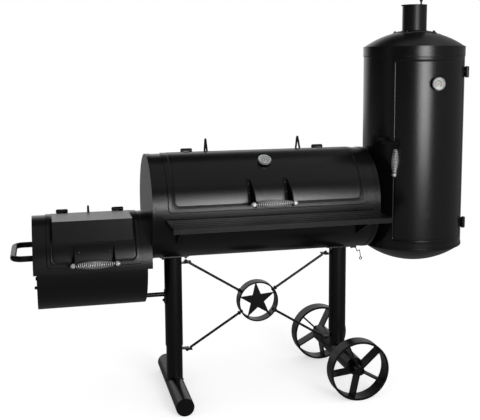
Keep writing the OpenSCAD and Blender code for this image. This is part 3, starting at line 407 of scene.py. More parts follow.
@dataclass(frozen=True)
class PowderPaint(HeatPaint):
    """The smoother black coat on tubes, bars and bolts."""

    rough: float = 0.28
    gloss: float = 0.36
    grain: float = 0.00006
    dust: float = 0.1


@dataclass(frozen=True)
class BrightSteel(Finish):
    """Plated steel with fine draw lines and faint stains."""

    tint: Triple = (0.78, 0.79, 0.81)
    rough: float = 0.2
    lines: Triple = (1.0, 1.0, 1.0)
    stain: float = 0.25
    metal: float = 1.0

    def draw(self, board: Board) -> None:
        """Fill the nodes with plating, draw lines and stains."""
        cloud, lines = board.plating(self.lines)
        dull = tuple(0.55 * c for c in self.tint)
        colour = board.blend(cloud.between(0.45, 0.8) * self.stain, self.tint, dull)
        rough = self.rough + lines * 0.08 + cloud * 0.08
        normal = board.bump(lines, 0.00004)
        board.surface(Base_Color=colour, Roughness=rough, Metallic=self.metal, Normal=normal)


@dataclass(frozen=True)
class GripRod(Finish):
    """A handle's rod: plated, with painted shade, near black and dull, along the stretch its coil covers,
    where shade falls inside the coil, and plated ends and nuts.
    """

    centre: Triple = (0.0, 0.0, 0.0)
    along: Triple = (1.0, 0.0, 0.0)
    reach: float = 0.07
    tint: Triple = (0.66, 0.66, 0.67)
    # near-black colour of the painted shade on the rod inside its coil
    black: Triple = (0.012, 0.012, 0.012)

    def draw(self, board: Board) -> None:
        """Fill the nodes with painted shade in the middle, under the coil, and plating at the ends."""
        far = board.reach(self.centre, self.along)
        ends = (far * far) > self.reach * self.reach
        cloud, lines = board.plating()
        # painted shade: along the coil's length the rod is near black and not metal
        colour = board.blend(ends, self.black, self.tint)
        rough = 0.3 + lines * 0.08 + cloud * 0.08
        normal = board.bump(lines, 0.00003)
        board.surface(Base_Color=colour, Roughness=rough, Metallic=ends * 0.6, Normal=normal)


@dataclass(frozen=True)
class DialCase(Finish):
    """A dial's case: a polished rim, and a neck under it painted near black and dull as painted shade, where
    shade falls under the rim.
    """

    centre: Triple = (0.0, 0.0, 0.0)
    outward: Triple = (0.0, 0.0, 1.0)
    skirt: float = 0.004
    tint: Triple = (0.86, 0.86, 0.87)
    # near-black colour of the painted shade on the steel neck
    neck: Triple = (0.006, 0.006, 0.006)

    def draw(self, board: Board) -> None:
        """Fill the nodes with the polished rim and the painted shade on the neck."""
        rim = board.reach(self.centre, self.outward) > -self.skirt
        cloud, lines = board.plating()
        # painted shade: below the rim the steel neck is near black, dull and not metal
        colour = board.blend(rim, self.neck, self.tint)
        rough = 0.4 - rim * 0.22 + lines * 0.06 + cloud * 0.05
        normal = board.bump(lines, 0.00003)
        board.surface(Base_Color=colour, Roughness=rough, Metallic=rim * 0.7, Normal=normal)


@dataclass(frozen=True)
class GrateSteel(Finish):
    """Plain steel bar of the grates, browned in patches by the fire."""

    tint: Triple = (0.36, 0.36, 0.37)
    rough: float = 0.38

    def draw(self, board: Board) -> None:
        """Fill the nodes with steel, heat tint and scale."""
        patch = board.noise(scale=14.0, detail=4.0, rough=0.6).between(0.45, 0.75)
        scale = board.noise(scale=800.0, detail=3.0, rough=0.6)
        colour = board.blend(patch * 0.7, self.tint, (0.16, 0.125, 0.10))
        board.surface(
            Base_Color=colour,
            Roughness=self.rough + patch * 0.2 + scale * 0.1,
            Metallic=0.92 - patch * 0.3,
            Normal=board.bump(scale, 0.00012),
        )


@dataclass(frozen=True)
class DialPrint(Finish):
    """A dial's white plate with printed heat zones: coloured arcs, a thin grey circle and black raised marks.

    The rings are shares of the radius, and the turns are radians from the dial's top.
    """

    centre: Triple = (0.0, 0.0, 0.0)
    outward: Triple = (0.0, 0.0, 1.0)
    upward: Triple = (0.0, 1.0, 0.0)
    plate: float = 0.001
    radius: float = 0.0229
    zones: tuple[float, float] = (0.46, 0.6)
    circle: tuple[float, float] = (0.385, 0.415)
    half_scale: float = 2.356
    zone_turn: float = 0.785
    ink: float = 0.00012

    def draw(self, board: Board) -> None:
        """Fill the nodes with the plate, its printed rings and its marks."""
        out = Vector(self.outward).normalized()
        up = Vector(self.upward).normalized()
        side = up.cross(out)
        across, along, height = (board.reach(self.centre, tuple(way)) for way in (side, up, out))
        away = (across * across + along * along) ** 0.5 / self.radius
        turn = board.node("ShaderNodeMath", {"operation": "ARCTAN2"}, {0: across, 1: along})
        blot = board.noise(scale=500.0, detail=2.0, rough=0.5)
        white = board.blend(blot, (0.80, 0.80, 0.77), (0.88, 0.88, 0.85))
        on_scale = (turn * turn) < self.half_scale * self.half_scale
        ring = (away > self.zones[0]) * (away < self.zones[1]) * on_scale
        cool = board.blend(turn > -self.zone_turn, (0.13, 0.2, 0.33), (0.15, 0.26, 0.12))
        zone = board.blend(turn > self.zone_turn, cool, (0.42, 0.07, 0.04))
        printed = board.blend(ring * 0.95, white, zone)
        circle = (away > self.circle[0]) * (away < self.circle[1])
        printed = board.blend(circle, printed, (0.1, 0.1, 0.1))
        marks = height > self.plate + self.ink
        colour = board.blend(marks, printed, (0.03, 0.03, 0.03))
        board.surface(Base_Color=colour, Roughness=0.42 + blot * 0.12, Normal=board.bump(blot, 0.00002))


@dataclass(frozen=True)
class DialGlass(Finish):
    """Clear thin cover glass with a few faint wipe marks."""

    def draw(self, board: Board) -> None:
        """Fill the nodes with nearly clear glass."""
        wipe = board.noise(scale=240.0, detail=3.0, rough=0.6, stretch=(1.0, 0.2, 1.0))
        clear = board.node("ShaderNodeBsdfTransparent", {}, {"Color": (0.97, 0.98, 0.98, 1.0)}, "BSDF")
        inputs = {
            "Base Color": (0.3, 0.31, 0.32, 1.0),
            "Roughness": wipe * 0.12,
            "Normal": board.bump(wipe, 0.00001),
            "Specular IOR Level": 0.5,
        }
        gloss = board.node("ShaderNodeBsdfPrincipled", {}, inputs, "BSDF")
        share = board.node("ShaderNodeFresnel", {}, {"IOR": 1.45}) * 0.4 + wipe.between(0.5, 0.9) * 0.015
        mixed = board.node("ShaderNodeMixShader", {}, {0: share, 1: clear, 2: gloss}, "Shader")
        board.node("ShaderNodeOutputMaterial", {}, {"Surface": mixed})


@dataclass(frozen=True)
class InkPaint(Finish):
    """Thin printed or stove-enamelled colour on needles and numerals."""

    tint: Triple = (0.03, 0.03, 0.03)
    worn: Triple = (0.08, 0.08, 0.08)

    def draw(self, board: Board) -> None:
        """Fill the nodes with the colour and its thin spots."""
        spots = board.noise(scale=1800.0, detail=2.0, rough=0.6)
        colour = board.blend(spots.between(0.5, 0.8), self.tint, self.worn)
        board.surface(Base_Color=colour, Roughness=0.35 + spots * 0.2, Normal=board.bump(spots, 0.00002))


DRUM_PAINT = HeatPaint("drum paint")
FIRE_PAINT = HeatPaint("fire box paint", tone=0.0028, rough=0.27, warm=0.08, grain=0.00006, dust=0.14)
CHIMNEY_PAINT = HeatPaint("chimney paint", rough=0.36)
TUBE_PAINT = PowderPaint("tube paint")
# The ears' paint is a darker, duller copy of the tube paint: its darker tone is painted shade on the ears and
# their flanges.
SHADED_EAR_PAINT = PowderPaint("ear paint", tone=0.002, rough=0.5, gloss=0.25)
DARK_STEEL = BrightSteel("browned rivets", tint=(0.16, 0.16, 0.165), rough=0.34, stain=0.5)
GRIP_STEEL = BrightSteel("plated grip wire", tint=(0.84, 0.84, 0.85), rough=0.4, metal=0.8)
NUT_STEEL = BrightSteel(
    "plated nuts and rods", tint=(0.8, 0.8, 0.81), rough=0.3, lines=(0.2, 1.0, 1.0), metal=0.6
)
CASE_STEEL = BrightSteel("polished dial case", tint=(0.82, 0.82, 0.83), rough=0.12, stain=0.1)
GRATE = GrateSteel("grate bar")
GLASS = DialGlass("dial glass")
NEEDLE_RED = InkPaint("needle red", tint=(0.42, 0.03, 0.025), worn=(0.5, 0.12, 0.1))
NUMERAL_BLACK = InkPaint("numeral black")


# ---- mesh making ----


def circle_points(centre: Vector, first: Vector, second: Vector, radius: float, count: int) -> list[Vector]:
    """Points around a circle.

    Args:
        centre: Its centre.
        first: Unit vector towards the first point.
        second: Unit vector a quarter turn on.
        radius: Its radius.
        count: The number of points.

    Returns:
        The points in order, without repeating the first.
    """
    turns = (math.tau * i / count for i in range(count))
    return [centre + radius * (math.cos(t) * first + math.sin(t) * second) for t in turns]


def crosswise(along: Vector) -> tuple[Vector, Vector]:
    """Two unit vectors square to a direction and to each other.

    Args:
        along: The direction.

    Returns:
        The two vectors.
    """
    hint = Vector((0, 0, 1)) if abs(along.normalized().z) < 0.9 else Vector((1, 0, 0))
    first = along.cross(hint).normalized()
    return first, along.normalized().cross(first)


@dataclass
class Sketch:
    """A mesh in the making, gathered from swept wires and turned profiles."""

    points: list[Vector] = field(default_factory=list)
    faces: list[tuple[int, ...]] = field(default_factory=list)

    def rings(self, rings: Sequence[Sequence[Vector]], closed: bool = False, capped: bool = True) -> None:
        """Skin a row of rings of equal size.

        Args:
            rings: The rings in order.
            closed: Whether the last ring joins the first.
            capped: Whether a row that isn't closed gets a face at each end.
        """
        start, sides, count = len(self.points), len(rings[0]), len(rings)
        for ring in rings:
            self.points.extend(ring)
        for i in range(count if closed else count - 1):
            here, after = start + i * sides, start + (i + 1) % count * sides
            for j in range(sides):
                k = (j + 1) % sides
                self.faces.append((here + j, here + k, after + k, after + j))
        if capped and not closed:
            self.faces.append(tuple(start + j for j in reversed(range(sides))))
            self.faces.append(tuple(start + (count - 1) * sides + j for j in range(sides)))

    def sweep(
        self, path: Sequence[Vector], radius: Callable[[float], float], sides: int, closed: bool = False
    ) -> None:
        """Sweep a round wire along a path.

        Args:
            path: The middle line.
            radius: The wire's radius at a length along it.
            sides: The number of sides of the wire.
            closed: Whether the path is a loop.
        """
        count = len(path)
        first = crosswise(path[1] - path[0])[0]
        length, rings = 0.0, []
        for i, point in enumerate(path):
            before = path[i - 1] if i or closed else point
            after = path[(i + 1) % count] if i < count - 1 or closed else point
            along = (after - before).normalized()
            first = (first - first.dot(along) * along).normalized()
            second = along.cross(first)
            if i:
                length += (point - path[i - 1]).length
            rings.append(circle_points(point, first, second, radius(length), sides))
        self.rings(rings, closed)

    def turn(
        self, profile: Sequence[tuple[float, float]], base: Vector, axis: Vector, steps: int
    ) -> None:
        """Turn a closed profile about an axis.

        Args:
            profile: Radius and height of each corner, as a loop.
            base: The point on the axis at height 0.
            axis: The axis.
            steps: The number of steps around.
        """
        up = axis.normalized()
        first, second = crosswise(up)
        rings = []
        for i in range(steps):
            turn = math.tau * i / steps
            out = math.cos(turn) * first + math.sin(turn) * second
            rings.append([base + out * r + up * h for r, h in profile])
        self.rings(rings, closed=True)

    def finish(
        self, name: str, body: Body, slot: Slot, finish: Finish, crease: float = TURNED_CREASE
    ) -> bpy.types.Object:
        """Make the object, dress it and let it ride.

        Args:
            name: The piece's name.
            body: The body that it moves with.
            slot: Not used.
            finish: Its finish.
            crease: Edges sharper than this many degrees stay crisp.

        Returns:
            The new object.
        """
        mesh = bpy.data.meshes.new(name)
        mesh.from_pydata([tuple(p) for p in self.points], [], self.faces)
        mesh.validate()
        shell = bmesh.new()
        shell.from_mesh(mesh)
        bmesh.ops.recalc_face_normals(shell, faces=shell.faces)
        shell.to_mesh(mesh)
        shell.free()
        mesh.materials.append(finish.material())
        made = bpy.data.objects.new(name, mesh)
        bpy.context.scene.collection.objects.link(made)
        soften(made, crease)
        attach(made, body.value)
        return made

    def weld(self, name: str, finish: Finish) -> bpy.types.Object:
        """Make the painted weld beads that lie on the standing frame.

        Args:
            name: The piece's name.
            finish: The paint.

        Returns:
            The new object.
        """
        return self.finish(name, Body.STANDING_FRAME, Slot.PAINT, finish, WELD_CREASE)


def soften(piece: bpy.types.Object, crease: float = PLATE_CREASE) -> None:
    """Shade a piece smoothly apart from its real edges.

    Args:
        piece: The piece to shade.
        crease: The angle in degrees above which an edge stays crisp.
    """
    mesh = piece.data
    mesh.polygons.foreach_set("use_smooth", [True] * len(mesh.polygons))
    mesh.set_sharp_from_angle(angle=math.radians(crease))


def dress(finish: Finish, *nodes: str) -> None:
    """Give CAD nodes a finish.

    Args:
        finish: The finish.
        nodes: The nodes' names.
    """
    for name in nodes:
        piece = frame["nodes"][name]
        piece.data.materials.clear()
        piece.data.materials.append(finish.material())


def joint_axis(name: str) -> tuple[Vector, Vector]:
    """Place and direction of a joint.

    Args:
        name: The joint's name.

    Returns:
        A point on the axis and its unit vector.
    """
    joint = next(j for j in frame["joints"] if j["name"] == name)
    return Vector(joint["pos_m"]), Vector(joint["axis"]).normalized()


def corners_of(node: str) -> list[Vector]:
    """A CAD node's points in the frame's axes."""
    return [Vector(v.co) for v in frame["nodes"][node].data.vertices]


def spoke(turn: float) -> tuple[Vector, Vector]:
    """Two directions in the plane square to Y.

    Args:
        turn: An angle in degrees, from +X towards +Z.

    Returns:
        The unit vector at that angle and the one a quarter turn on.
    """
    angle = math.radians(turn)
    out = Vector((math.cos(angle), 0, math.sin(angle)))
    return out, Vector((-out.z, 0, out.x))


def middle(node: str) -> Vector:
    """The middle of a CAD node's box."""
    low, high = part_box(node)
    return (low + high) / 2


@dataclass
class WeldSeam:
    """A ripple weld: a low rounded bead with the even waves that a welder leaves."""

    width: float = 0.0045
    wave: float = 0.0032
    depth: float = 0.16
    sides: int = 8
    steps: int = 4

    def lay(self, sketch: Sketch, path: Sequence[Vector], closed: bool = False) -> None:
        """Lay the bead along a path.

        Args:
            sketch: The mesh that it goes into.
            path: The line of the seam.
            closed: Whether the seam is a loop.
        """
        sketch.sweep(path, self.ripple, self.sides, closed)

    def ripple(self, length: float) -> float:
        """The bead's radius at a length along it."""
        return self.width / 2 * (1 + self.depth * math.sin(math.tau * length / self.wave))

    def line(self, sketch: Sketch, start: Vector, end: Vector) -> None:
        """Lay a straight bead.

        Args:
            sketch: The mesh that it goes into.
            start: Its start.
            end: Its end.
        """
        count = max(self.steps, round((end - start).length / self.wave * self.steps))
        self.lay(sketch, [start.lerp(end, i / count) for i in range(count + 1)])

    def ring(self, sketch: Sketch, centre: Vector, axis: Vector, radius: float) -> None:
        """Lay a bead around a circle.

        Args:
            sketch: The mesh that it goes into.
            centre: The circle's centre.
            axis: The circle's axis.
            radius: Its radius.
        """
        first, second = crosswise(axis)
        count = round(math.tau * radius / self.wave * self.steps)
        self.lay(sketch, circle_points(centre, first, second, radius, count), closed=True)

    def saddle(
        self, sketch: Sketch, height: Callable[[float, float], float], foot: Vector, radius: float
    ) -> None:
        """Lay a bead where an upright tube meets a curved face.

        Args:
            sketch: The mesh that it goes into.
            height: The face's height at an x and y from the tube's axis.
            foot: A point on the tube's axis; its z is not used.
            radius: The tube's radius.
        """
        count = round(math.tau * radius / self.wave * self.steps)
        path = []
        for i in range(count):
            turn = math.tau * i / count
            x, y = radius * math.cos(turn), radius * math.sin(turn)
            path.append(Vector((foot.x + x, foot.y + y, height(x, y))))
        self.lay(sketch, path, closed=True)


# ---- sub-assemblies ----


@dataclass
class CoilGrip:
    """A barrel-shaped coil of plated wire around a handle's rod."""

    node: str
    body: Body
    axis: Vector
    turns: float
    rod: str = ""
    wire: float = 0.0036
    end_radius: float = 0.0062
    sides: int = 12
    steps: int = 40
    tight: float = 0.9

    def build(self) -> bpy.types.Object:
        """Wind the coil in the space of its CAD node.

        Returns:
            The coil.
        """
        corners = corners_of(self.node)
        along = self.axis.normalized()
        centre = middle_along(corners, along)
        reach = [(p - centre).dot(along) for p in corners]
        low, high = min(reach) + self.wire / 2, max(reach) - self.wire / 2
        widest = max(((p - centre) - (p - centre).dot(along) * along).length for p in corners) - self.wire / 2
        # the rod gets painted shade where this coil covers it
        if self.rod:
            dress(GripRod(self.rod + " steel", tuple(centre), tuple(along), (high - low) / 2), self.rod)
        first, second = crosswise(along)
        count = round(self.turns * self.steps)
        path = []
        for i in range(count + 1):
            share = i / count
            radius = self.end_radius + (widest - self.end_radius) * (1 - (2 * share - 1) ** 2)
            turn = math.tau * i / self.steps
            place = low + (high - low) * self.spread(share)
            path.append(centre + along * place + radius * (math.cos(turn) * first + math.sin(turn) * second))
        sketch = Sketch()
        sketch.sweep(path, lambda s: self.wire / 2, self.sides)
        made = sketch.finish(self.node + "_wire", self.body, Slot.BRIGHT_STEEL, GRIP_STEEL, WIRE_CREASE)
        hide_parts(self.node)
        return made

    def spread(self, share: float) -> float:
        """Where along the coil a share of the wire lies: the end turns lie closer together.

        Args:
            share: The share of the wire, from 0 to 1.

        Returns:
            The share of the coil's length.
        """
        return share + (1 - self.tight) * 0.5 * math.sin(math.tau * share) / math.pi


def middle_along(points: Sequence[Vector], along: Vector) -> Vector:
    """The middle of a cloud of points that is round about a direction.

    Args:
        points: The points.
        along: The direction.

    Returns:
        The middle, halfway along and on the axis.
    """
    first, second = crosswise(along)
    centre = Vector()
    for unit in (along, first, second):
        reach = [p.dot(unit) for p in points]
        centre += unit * (min(reach) + max(reach)) / 2
    return centre


@dataclass
class PressedPanel:
    """A curved sheet lid with rounded corners and a soft groove pressed around its middle."""

    node: str
    body: Body
    axis_point: Vector
    axis: Vector
    finish: Finish
    inset: float = 0.0205
    groove_in: float = 0.0025
    groove_half: float = 0.0026
    groove_deep: float = 0.0011
    ridge_out: float = 0.0044
    ridge_half: float = 0.0024
    ridge_high: float = 0.0007
    grow_along: tuple[float, float] = (0.0, 0.0)
    grow_around: tuple[float, float] = (0.0, 0.0)
    corner: float = 0.014
    groove_corner: float = 0.022
    edge: float = 0.0008
    stride: float = 0.009
    slot_half: float = 0.004
    press_steps: int = 22
    across_long: int = 64
    across_short: int = 44
    arc: int = 10

    def build(self) -> bpy.types.Object:
        """Press the panel in the space of its CAD node.

        Returns:
            The panel, which stands for the node.
        """
        self.measure()
        reach = min(self.half_along, self.half_around)
        centre = self.inset + self.groove_in
        near = centre - self.ridge_out - self.ridge_half
        far = centre + self.groove_half
        offsets = [d for d in (0.0, 0.0003, self.edge, 0.003, 0.008) if d < near - 0.001]
        offsets += [near + (far - near) * i / self.press_steps for i in range(self.press_steps + 1)]
        last = offsets[-1]
        while last + self.stride < reach - 1.5 * self.slot_half:
            last += min(self.stride, self.groove_in + 0.5 * (last - centre))
            offsets.append(last)
        offsets.append(reach - self.slot_half)
        sketch = Sketch()
        outer = [self.ring(d, self.outer_radius - self.sink(d, centre)) for d in offsets]
        inner = [self.ring(d, self.inner_radius + self.round_off(d) - self.press(d, centre)) for d in offsets]
        rings = list(reversed(outer)) + inner
        sketch.rings(rings, capped=False)
        self.close(sketch, 0)
        self.close(sketch, (len(rings) - 1) * len(rings[0]))
        made = sketch.finish(self.node + "_pressed", self.body, Slot.PAINT, self.finish, SHEET_CREASE)
        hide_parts(self.node)
        return made

    def measure(self) -> None:
        """Read the sheet's radii and its reach along and around the drum from the CAD node."""
        self.along = self.axis.normalized()
        corners = [corner - self.axis_point for corner in corners_of(self.node)]
        radial = [p - p.dot(self.along) * self.along for p in corners]
        self.facing = sum((r.normalized() for r in radial), Vector()).normalized()
        self.around = self.along.cross(self.facing)
        turns = [math.atan2(r.dot(self.around), r.dot(self.facing)) for r in radial]
        places = [p.dot(self.along) for p in corners]
        self.outer_radius = max(r.length for r in radial)
        self.inner_radius = min(r.length for r in radial)
        start, end = min(places) - self.grow_along[0], max(places) + self.grow_along[1]
        self.middle_along = (start + end) / 2
        self.half_along = (end - start) / 2
        first = min(turns) - self.grow_around[0] / self.outer_radius
        last = max(turns) + self.grow_around[1] / self.outer_radius
        self.middle_turn = (first + last) / 2
        self.half_around = (last - first) / 2 * self.outer_radius

    def press(self, offset: float, centre: float) -> float:
        """Depth of the groove, and height of the low ridge outside it, at a distance from the edge.

        Args:
            offset: The distance from the panel's edge.
            centre: The distance of the groove's middle.

        Returns:
            The depth, below 0 on the ridge.
        """
        groove = min(1.0, abs(offset - centre) / self.groove_half)
        ridge = min(1.0, abs(offset - centre + self.ridge_out) / self.ridge_half)
        deep = self.groove_deep * (0.5 + 0.5 * math.cos(math.pi * groove))
        return deep - self.ridge_high * (0.5 + 0.5 * math.cos(math.pi * ridge))

    def round_off(self, offset: float) -> float:
        """How far the sheet's face is rounded off near its edge."""
        share = max(0.0, 1 - offset / self.edge)
        return self.edge * share * share

    def sink(self, offset: float, centre: float) -> float:
        """How far the outer face lies below the outer radius: the groove and the rounded edge."""
        return self.press(offset, centre) + self.round_off(offset)

    def ring(self, offset: float, radius: float) -> list[Vector]:
        """One rounded rectangle on the drum, at a distance inside the panel's edge.

        Args:
            offset: The distance inside the edge.
            radius: The ring's radius about the drum's axis.

        Returns:
            Its points, starting at the end of one corner.
        """
        grown = self.corner + (self.groove_corner - self.corner) * min(1.0, offset / self.inset)
        corner = max(0.0002, grown - max(0.0, offset - self.inset))
        half_u, half_s = self.half_along - offset, self.half_around - offset
        corner = min(corner, half_u * 0.98, half_s * 0.98)
        points: list[tuple[float, float]] = []
        quarters = ((1, 1), (-1, 1), (-1, -1), (1, -1))
        for i, (su, ss) in enumerate(quarters):
            base = math.pi / 2 * i
            cu, cs = su * (half_u - corner), ss * (half_s - corner)
            for j in range(self.arc + 1):
                turn = base + math.pi / 2 * j / self.arc
                points.append((cu + corner * math.cos(turn), cs + corner * math.sin(turn)))
            nu, ns = (s * (half - corner) for s, half in zip(quarters[(i + 1) % 4], (half_u, half_s)))
            out_u, out_s = corner * math.cos(base + math.pi / 2), corner * math.sin(base + math.pi / 2)
            end, goal = (cu + out_u, cs + out_s), (nu + out_u, ns + out_s)
            count = self.across_long if i % 2 == 0 else self.across_short
            for j in range(1, count):
                share = j / count
                points.append((end[0] + (goal[0] - end[0]) * share, end[1] + (goal[1] - end[1]) * share))
        return [self.point(u, s, radius) for u, s in points]

    def point(self, along: float, around: float, radius: float) -> Vector:
        """A point on the drum.

        Args:
            along: Distance along the drum from the panel's middle.
            around: Distance around it at the outer radius.
            radius: Distance from the drum's axis.

        Returns:
            The point.
        """
        turn = self.middle_turn + around / self.outer_radius
        out = math.cos(turn) * self.facing + math.sin(turn) * self.around
        return self.axis_point + self.along * (self.middle_along + along) + out * radius

    def close(self, sketch: Sketch, start: int) -> None:
        """Close the narrow loop that is left in the panel's middle: a strip along it and a face at each end.

        Args:
            sketch: The mesh.
            start: Index of the loop's first point.
        """
        run = self.across_long
        second = self.arc + run
        third = second + self.arc + self.across_short
        fourth = third + self.arc + run
        total = fourth + self.arc + self.across_short
        for k in range(run):
            near, far = self.arc + k, third + self.arc + run - k
            sketch.faces.append((start + near, start + near + 1, start + far - 1, start + far))
        sketch.faces.append(tuple(start + i for i in range(second, third + self.arc + 1)))
        sketch.faces.append(tuple(start + i % total for i in range(fourth, total + self.arc + 1)))


@dataclass
class BentStop:
    """The rods behind the lids, each bent to a narrow point, that an open lid leans on."""

    wire: float = 0.004
    bend: float = 0.006
    apart: float = 0.05
    sides: int = 14
    steps: int = 10

    def build(self) -> bpy.types.Object:
        """Bend the rods in the space of the CAD node.

        Returns:
            The rods as one piece.
        """
        corners = sorted(corners_of("lid_stops"), key=lambda p: p.x)
        groups: list[list[Vector]] = [[corners[0]]]
        for corner in corners[1:]:
            if corner.x - groups[-1][-1].x > self.apart:
                groups.append([])
            groups[-1].append(corner)
        sketch = Sketch()
        for group in groups:
            sketch.sweep(self.path(group), lambda s: self.wire, self.sides)
        made = sketch.finish("bent_lid_stops", Body.STANDING_FRAME, Slot.PAINT, TUBE_PAINT, WIRE_CREASE)
        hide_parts("lid_stops")
        return made

    def path(self, group: Sequence[Vector]) -> list[Vector]:
        """The middle line of one rod.

        Args:
            group: The CAD points of its arch.

        Returns:
            Points up one side, around the bend and down the other.
        """
        x = (min(p.x for p in group) + max(p.x for p in group)) / 2
        near, far = min(p.y for p in group) + self.wire, max(p.y for p in group) - self.wire
        top = max(p.z for p in group) - self.wire
        middle_y = (near + far) / 2
        feet = [min(p.z for p in group if abs(p.y - y) < 2 * self.wire) for y in (near, far)]
        lean = math.atan2((far - near) / 2, top - sum(feet) / 2)
        centre = Vector((x, middle_y, top - self.bend))
        points = [Vector((x, near, feet[0]))]
        for i in range(self.steps + 1):
            turn = math.pi - lean - (math.pi - 2 * lean) * i / self.steps
            points.append(centre + self.bend * Vector((0, math.cos(turn), math.sin(turn))))
        points.append(Vector((x, far, feet[1])))
        return points


@dataclass
class RolledBand:
    """A flat bar rolled into a ring about an axis along Y, with slightly rounded edges."""

    centre: Vector
    radius: float
    width: float
    wall: float
    edge: float = 0.0006
    steps: int = 144

    def roll(self, sketch: Sketch) -> None:
        """Roll the ring.

        Args:
            sketch: The mesh that it goes into.
        """
        half, e = self.width / 2, self.edge
        inner = self.radius - self.wall
        profile = [(inner, e - half), (inner + e, -half), (self.radius - e, -half), (self.radius, e - half)]
        profile += [(r, -h) for r, h in reversed(profile)]
        sketch.turn(profile, self.centre, Y_AXIS, self.steps)


@dataclass
class BandWheel:
    """A wheel of wide flat bar: rolled rim, five flat spokes and a hub on the axle."""

    node: str
    body: Body
    phase: float
    outward: float
    width: float = 0.058
    wall: float = 0.0085
    spoke_width: float = 0.052
    spoke_thick: float = 0.0065
    hub: float = 0.0175
    hub_longer: float = 0.006
    bore: float = 0.0134
    bead_out: float = 0.0006
    bead_short: float = 0.002
    spokes: int = 5
    seam: WeldSeam = field(default_factory=lambda: WeldSeam(width=0.0035))

    def build(self) -> bpy.types.Object:
        """Make the wheel in the place of its CAD node, welds included.

        Returns:
            The wheel.
        """
        low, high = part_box(self.node)
        centre = (low + high) / 2 + Vector((0, self.outward, 0))
        radius = (high.z - low.z) / 2
        sketch = Sketch()
        RolledBand(centre, radius, self.width, self.wall).roll(sketch)
        RolledBand(centre, self.hub, self.spoke_width + self.hub_longer, self.hub - self.bore).roll(sketch)
        half, thick = self.spoke_width / 2, self.spoke_thick / 2
        start, end = self.hub - 0.001, radius - self.wall + 0.002
        around = ((1, -1), (1, 1), (-1, 1), (-1, -1))
        for i in range(self.spokes):
            out, side = spoke(self.phase + 360 * i / self.spokes)
            flat = [side * u * thick + Vector((0, v * half, 0)) for u, v in around]
            sketch.rings([[centre + out * reach + corner for corner in flat] for reach in (start, end)])
            for reach in (self.hub + self.bead_out, radius - self.wall - self.bead_out):
                for edge in (-1, 1):
                    point = centre + out * reach + side * edge * thick
                    along = Vector((0, half - self.bead_short, 0))
                    self.seam.line(sketch, point - along, point + along)
        made = sketch.finish(self.node + "_rolled", self.body, Slot.PAINT, TUBE_PAINT, PLATE_CREASE)
        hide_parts(self.node)
        return made


@dataclass
class StarBrace:
    """The star in its wide rolled ring, welded at its tips."""

    width: float = 0.046
    wall: float = 0.006
    smaller: float = 0.0035
    plate: float = 0.005
    tilt: float = 4.5
    notch: float = 0.382
    sunk: float = 0.0005
    bead_in: float = 0.0012
    bead_half: float = 0.005
    seam: WeldSeam = field(default_factory=lambda: WeldSeam(width=0.0035))

    def build(self) -> bpy.types.Object:
        """Roll the ring, cut the star and weld its tips, in the place of the CAD node.

        Returns:
            The star and its ring.
        """
        low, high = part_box("star_ring")
        centre, radius = (low + high) / 2, (high.z - low.z) / 2 - self.smaller
        tip = radius - self.wall + self.sunk
        sketch = Sketch()
        RolledBand(centre, radius, self.width, self.wall).roll(sketch)
        outline = []
        for i in range(10):
            reach = tip if i % 2 == 0 else tip * self.notch
            outline.append(centre + reach * spoke(90 + self.tilt + 36 * i)[0])
        back = Vector((0, self.plate / 2, 0))
        sketch.rings([[p - back for p in outline], [p + back for p in outline]])
        for i in range(5):
            out, side = spoke(90 + self.tilt + 72 * i)
            along = side * self.bead_half
            for face in (-1, 1):
                point = centre + out * (tip - self.bead_in) + back * face
                self.seam.line(sketch, point - along, point + along)
        made = sketch.finish("star_ring_rolled", Body.STANDING_FRAME, Slot.PAINT, TUBE_PAINT, PLATE_CREASE)
        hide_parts("star_ring")
        return made


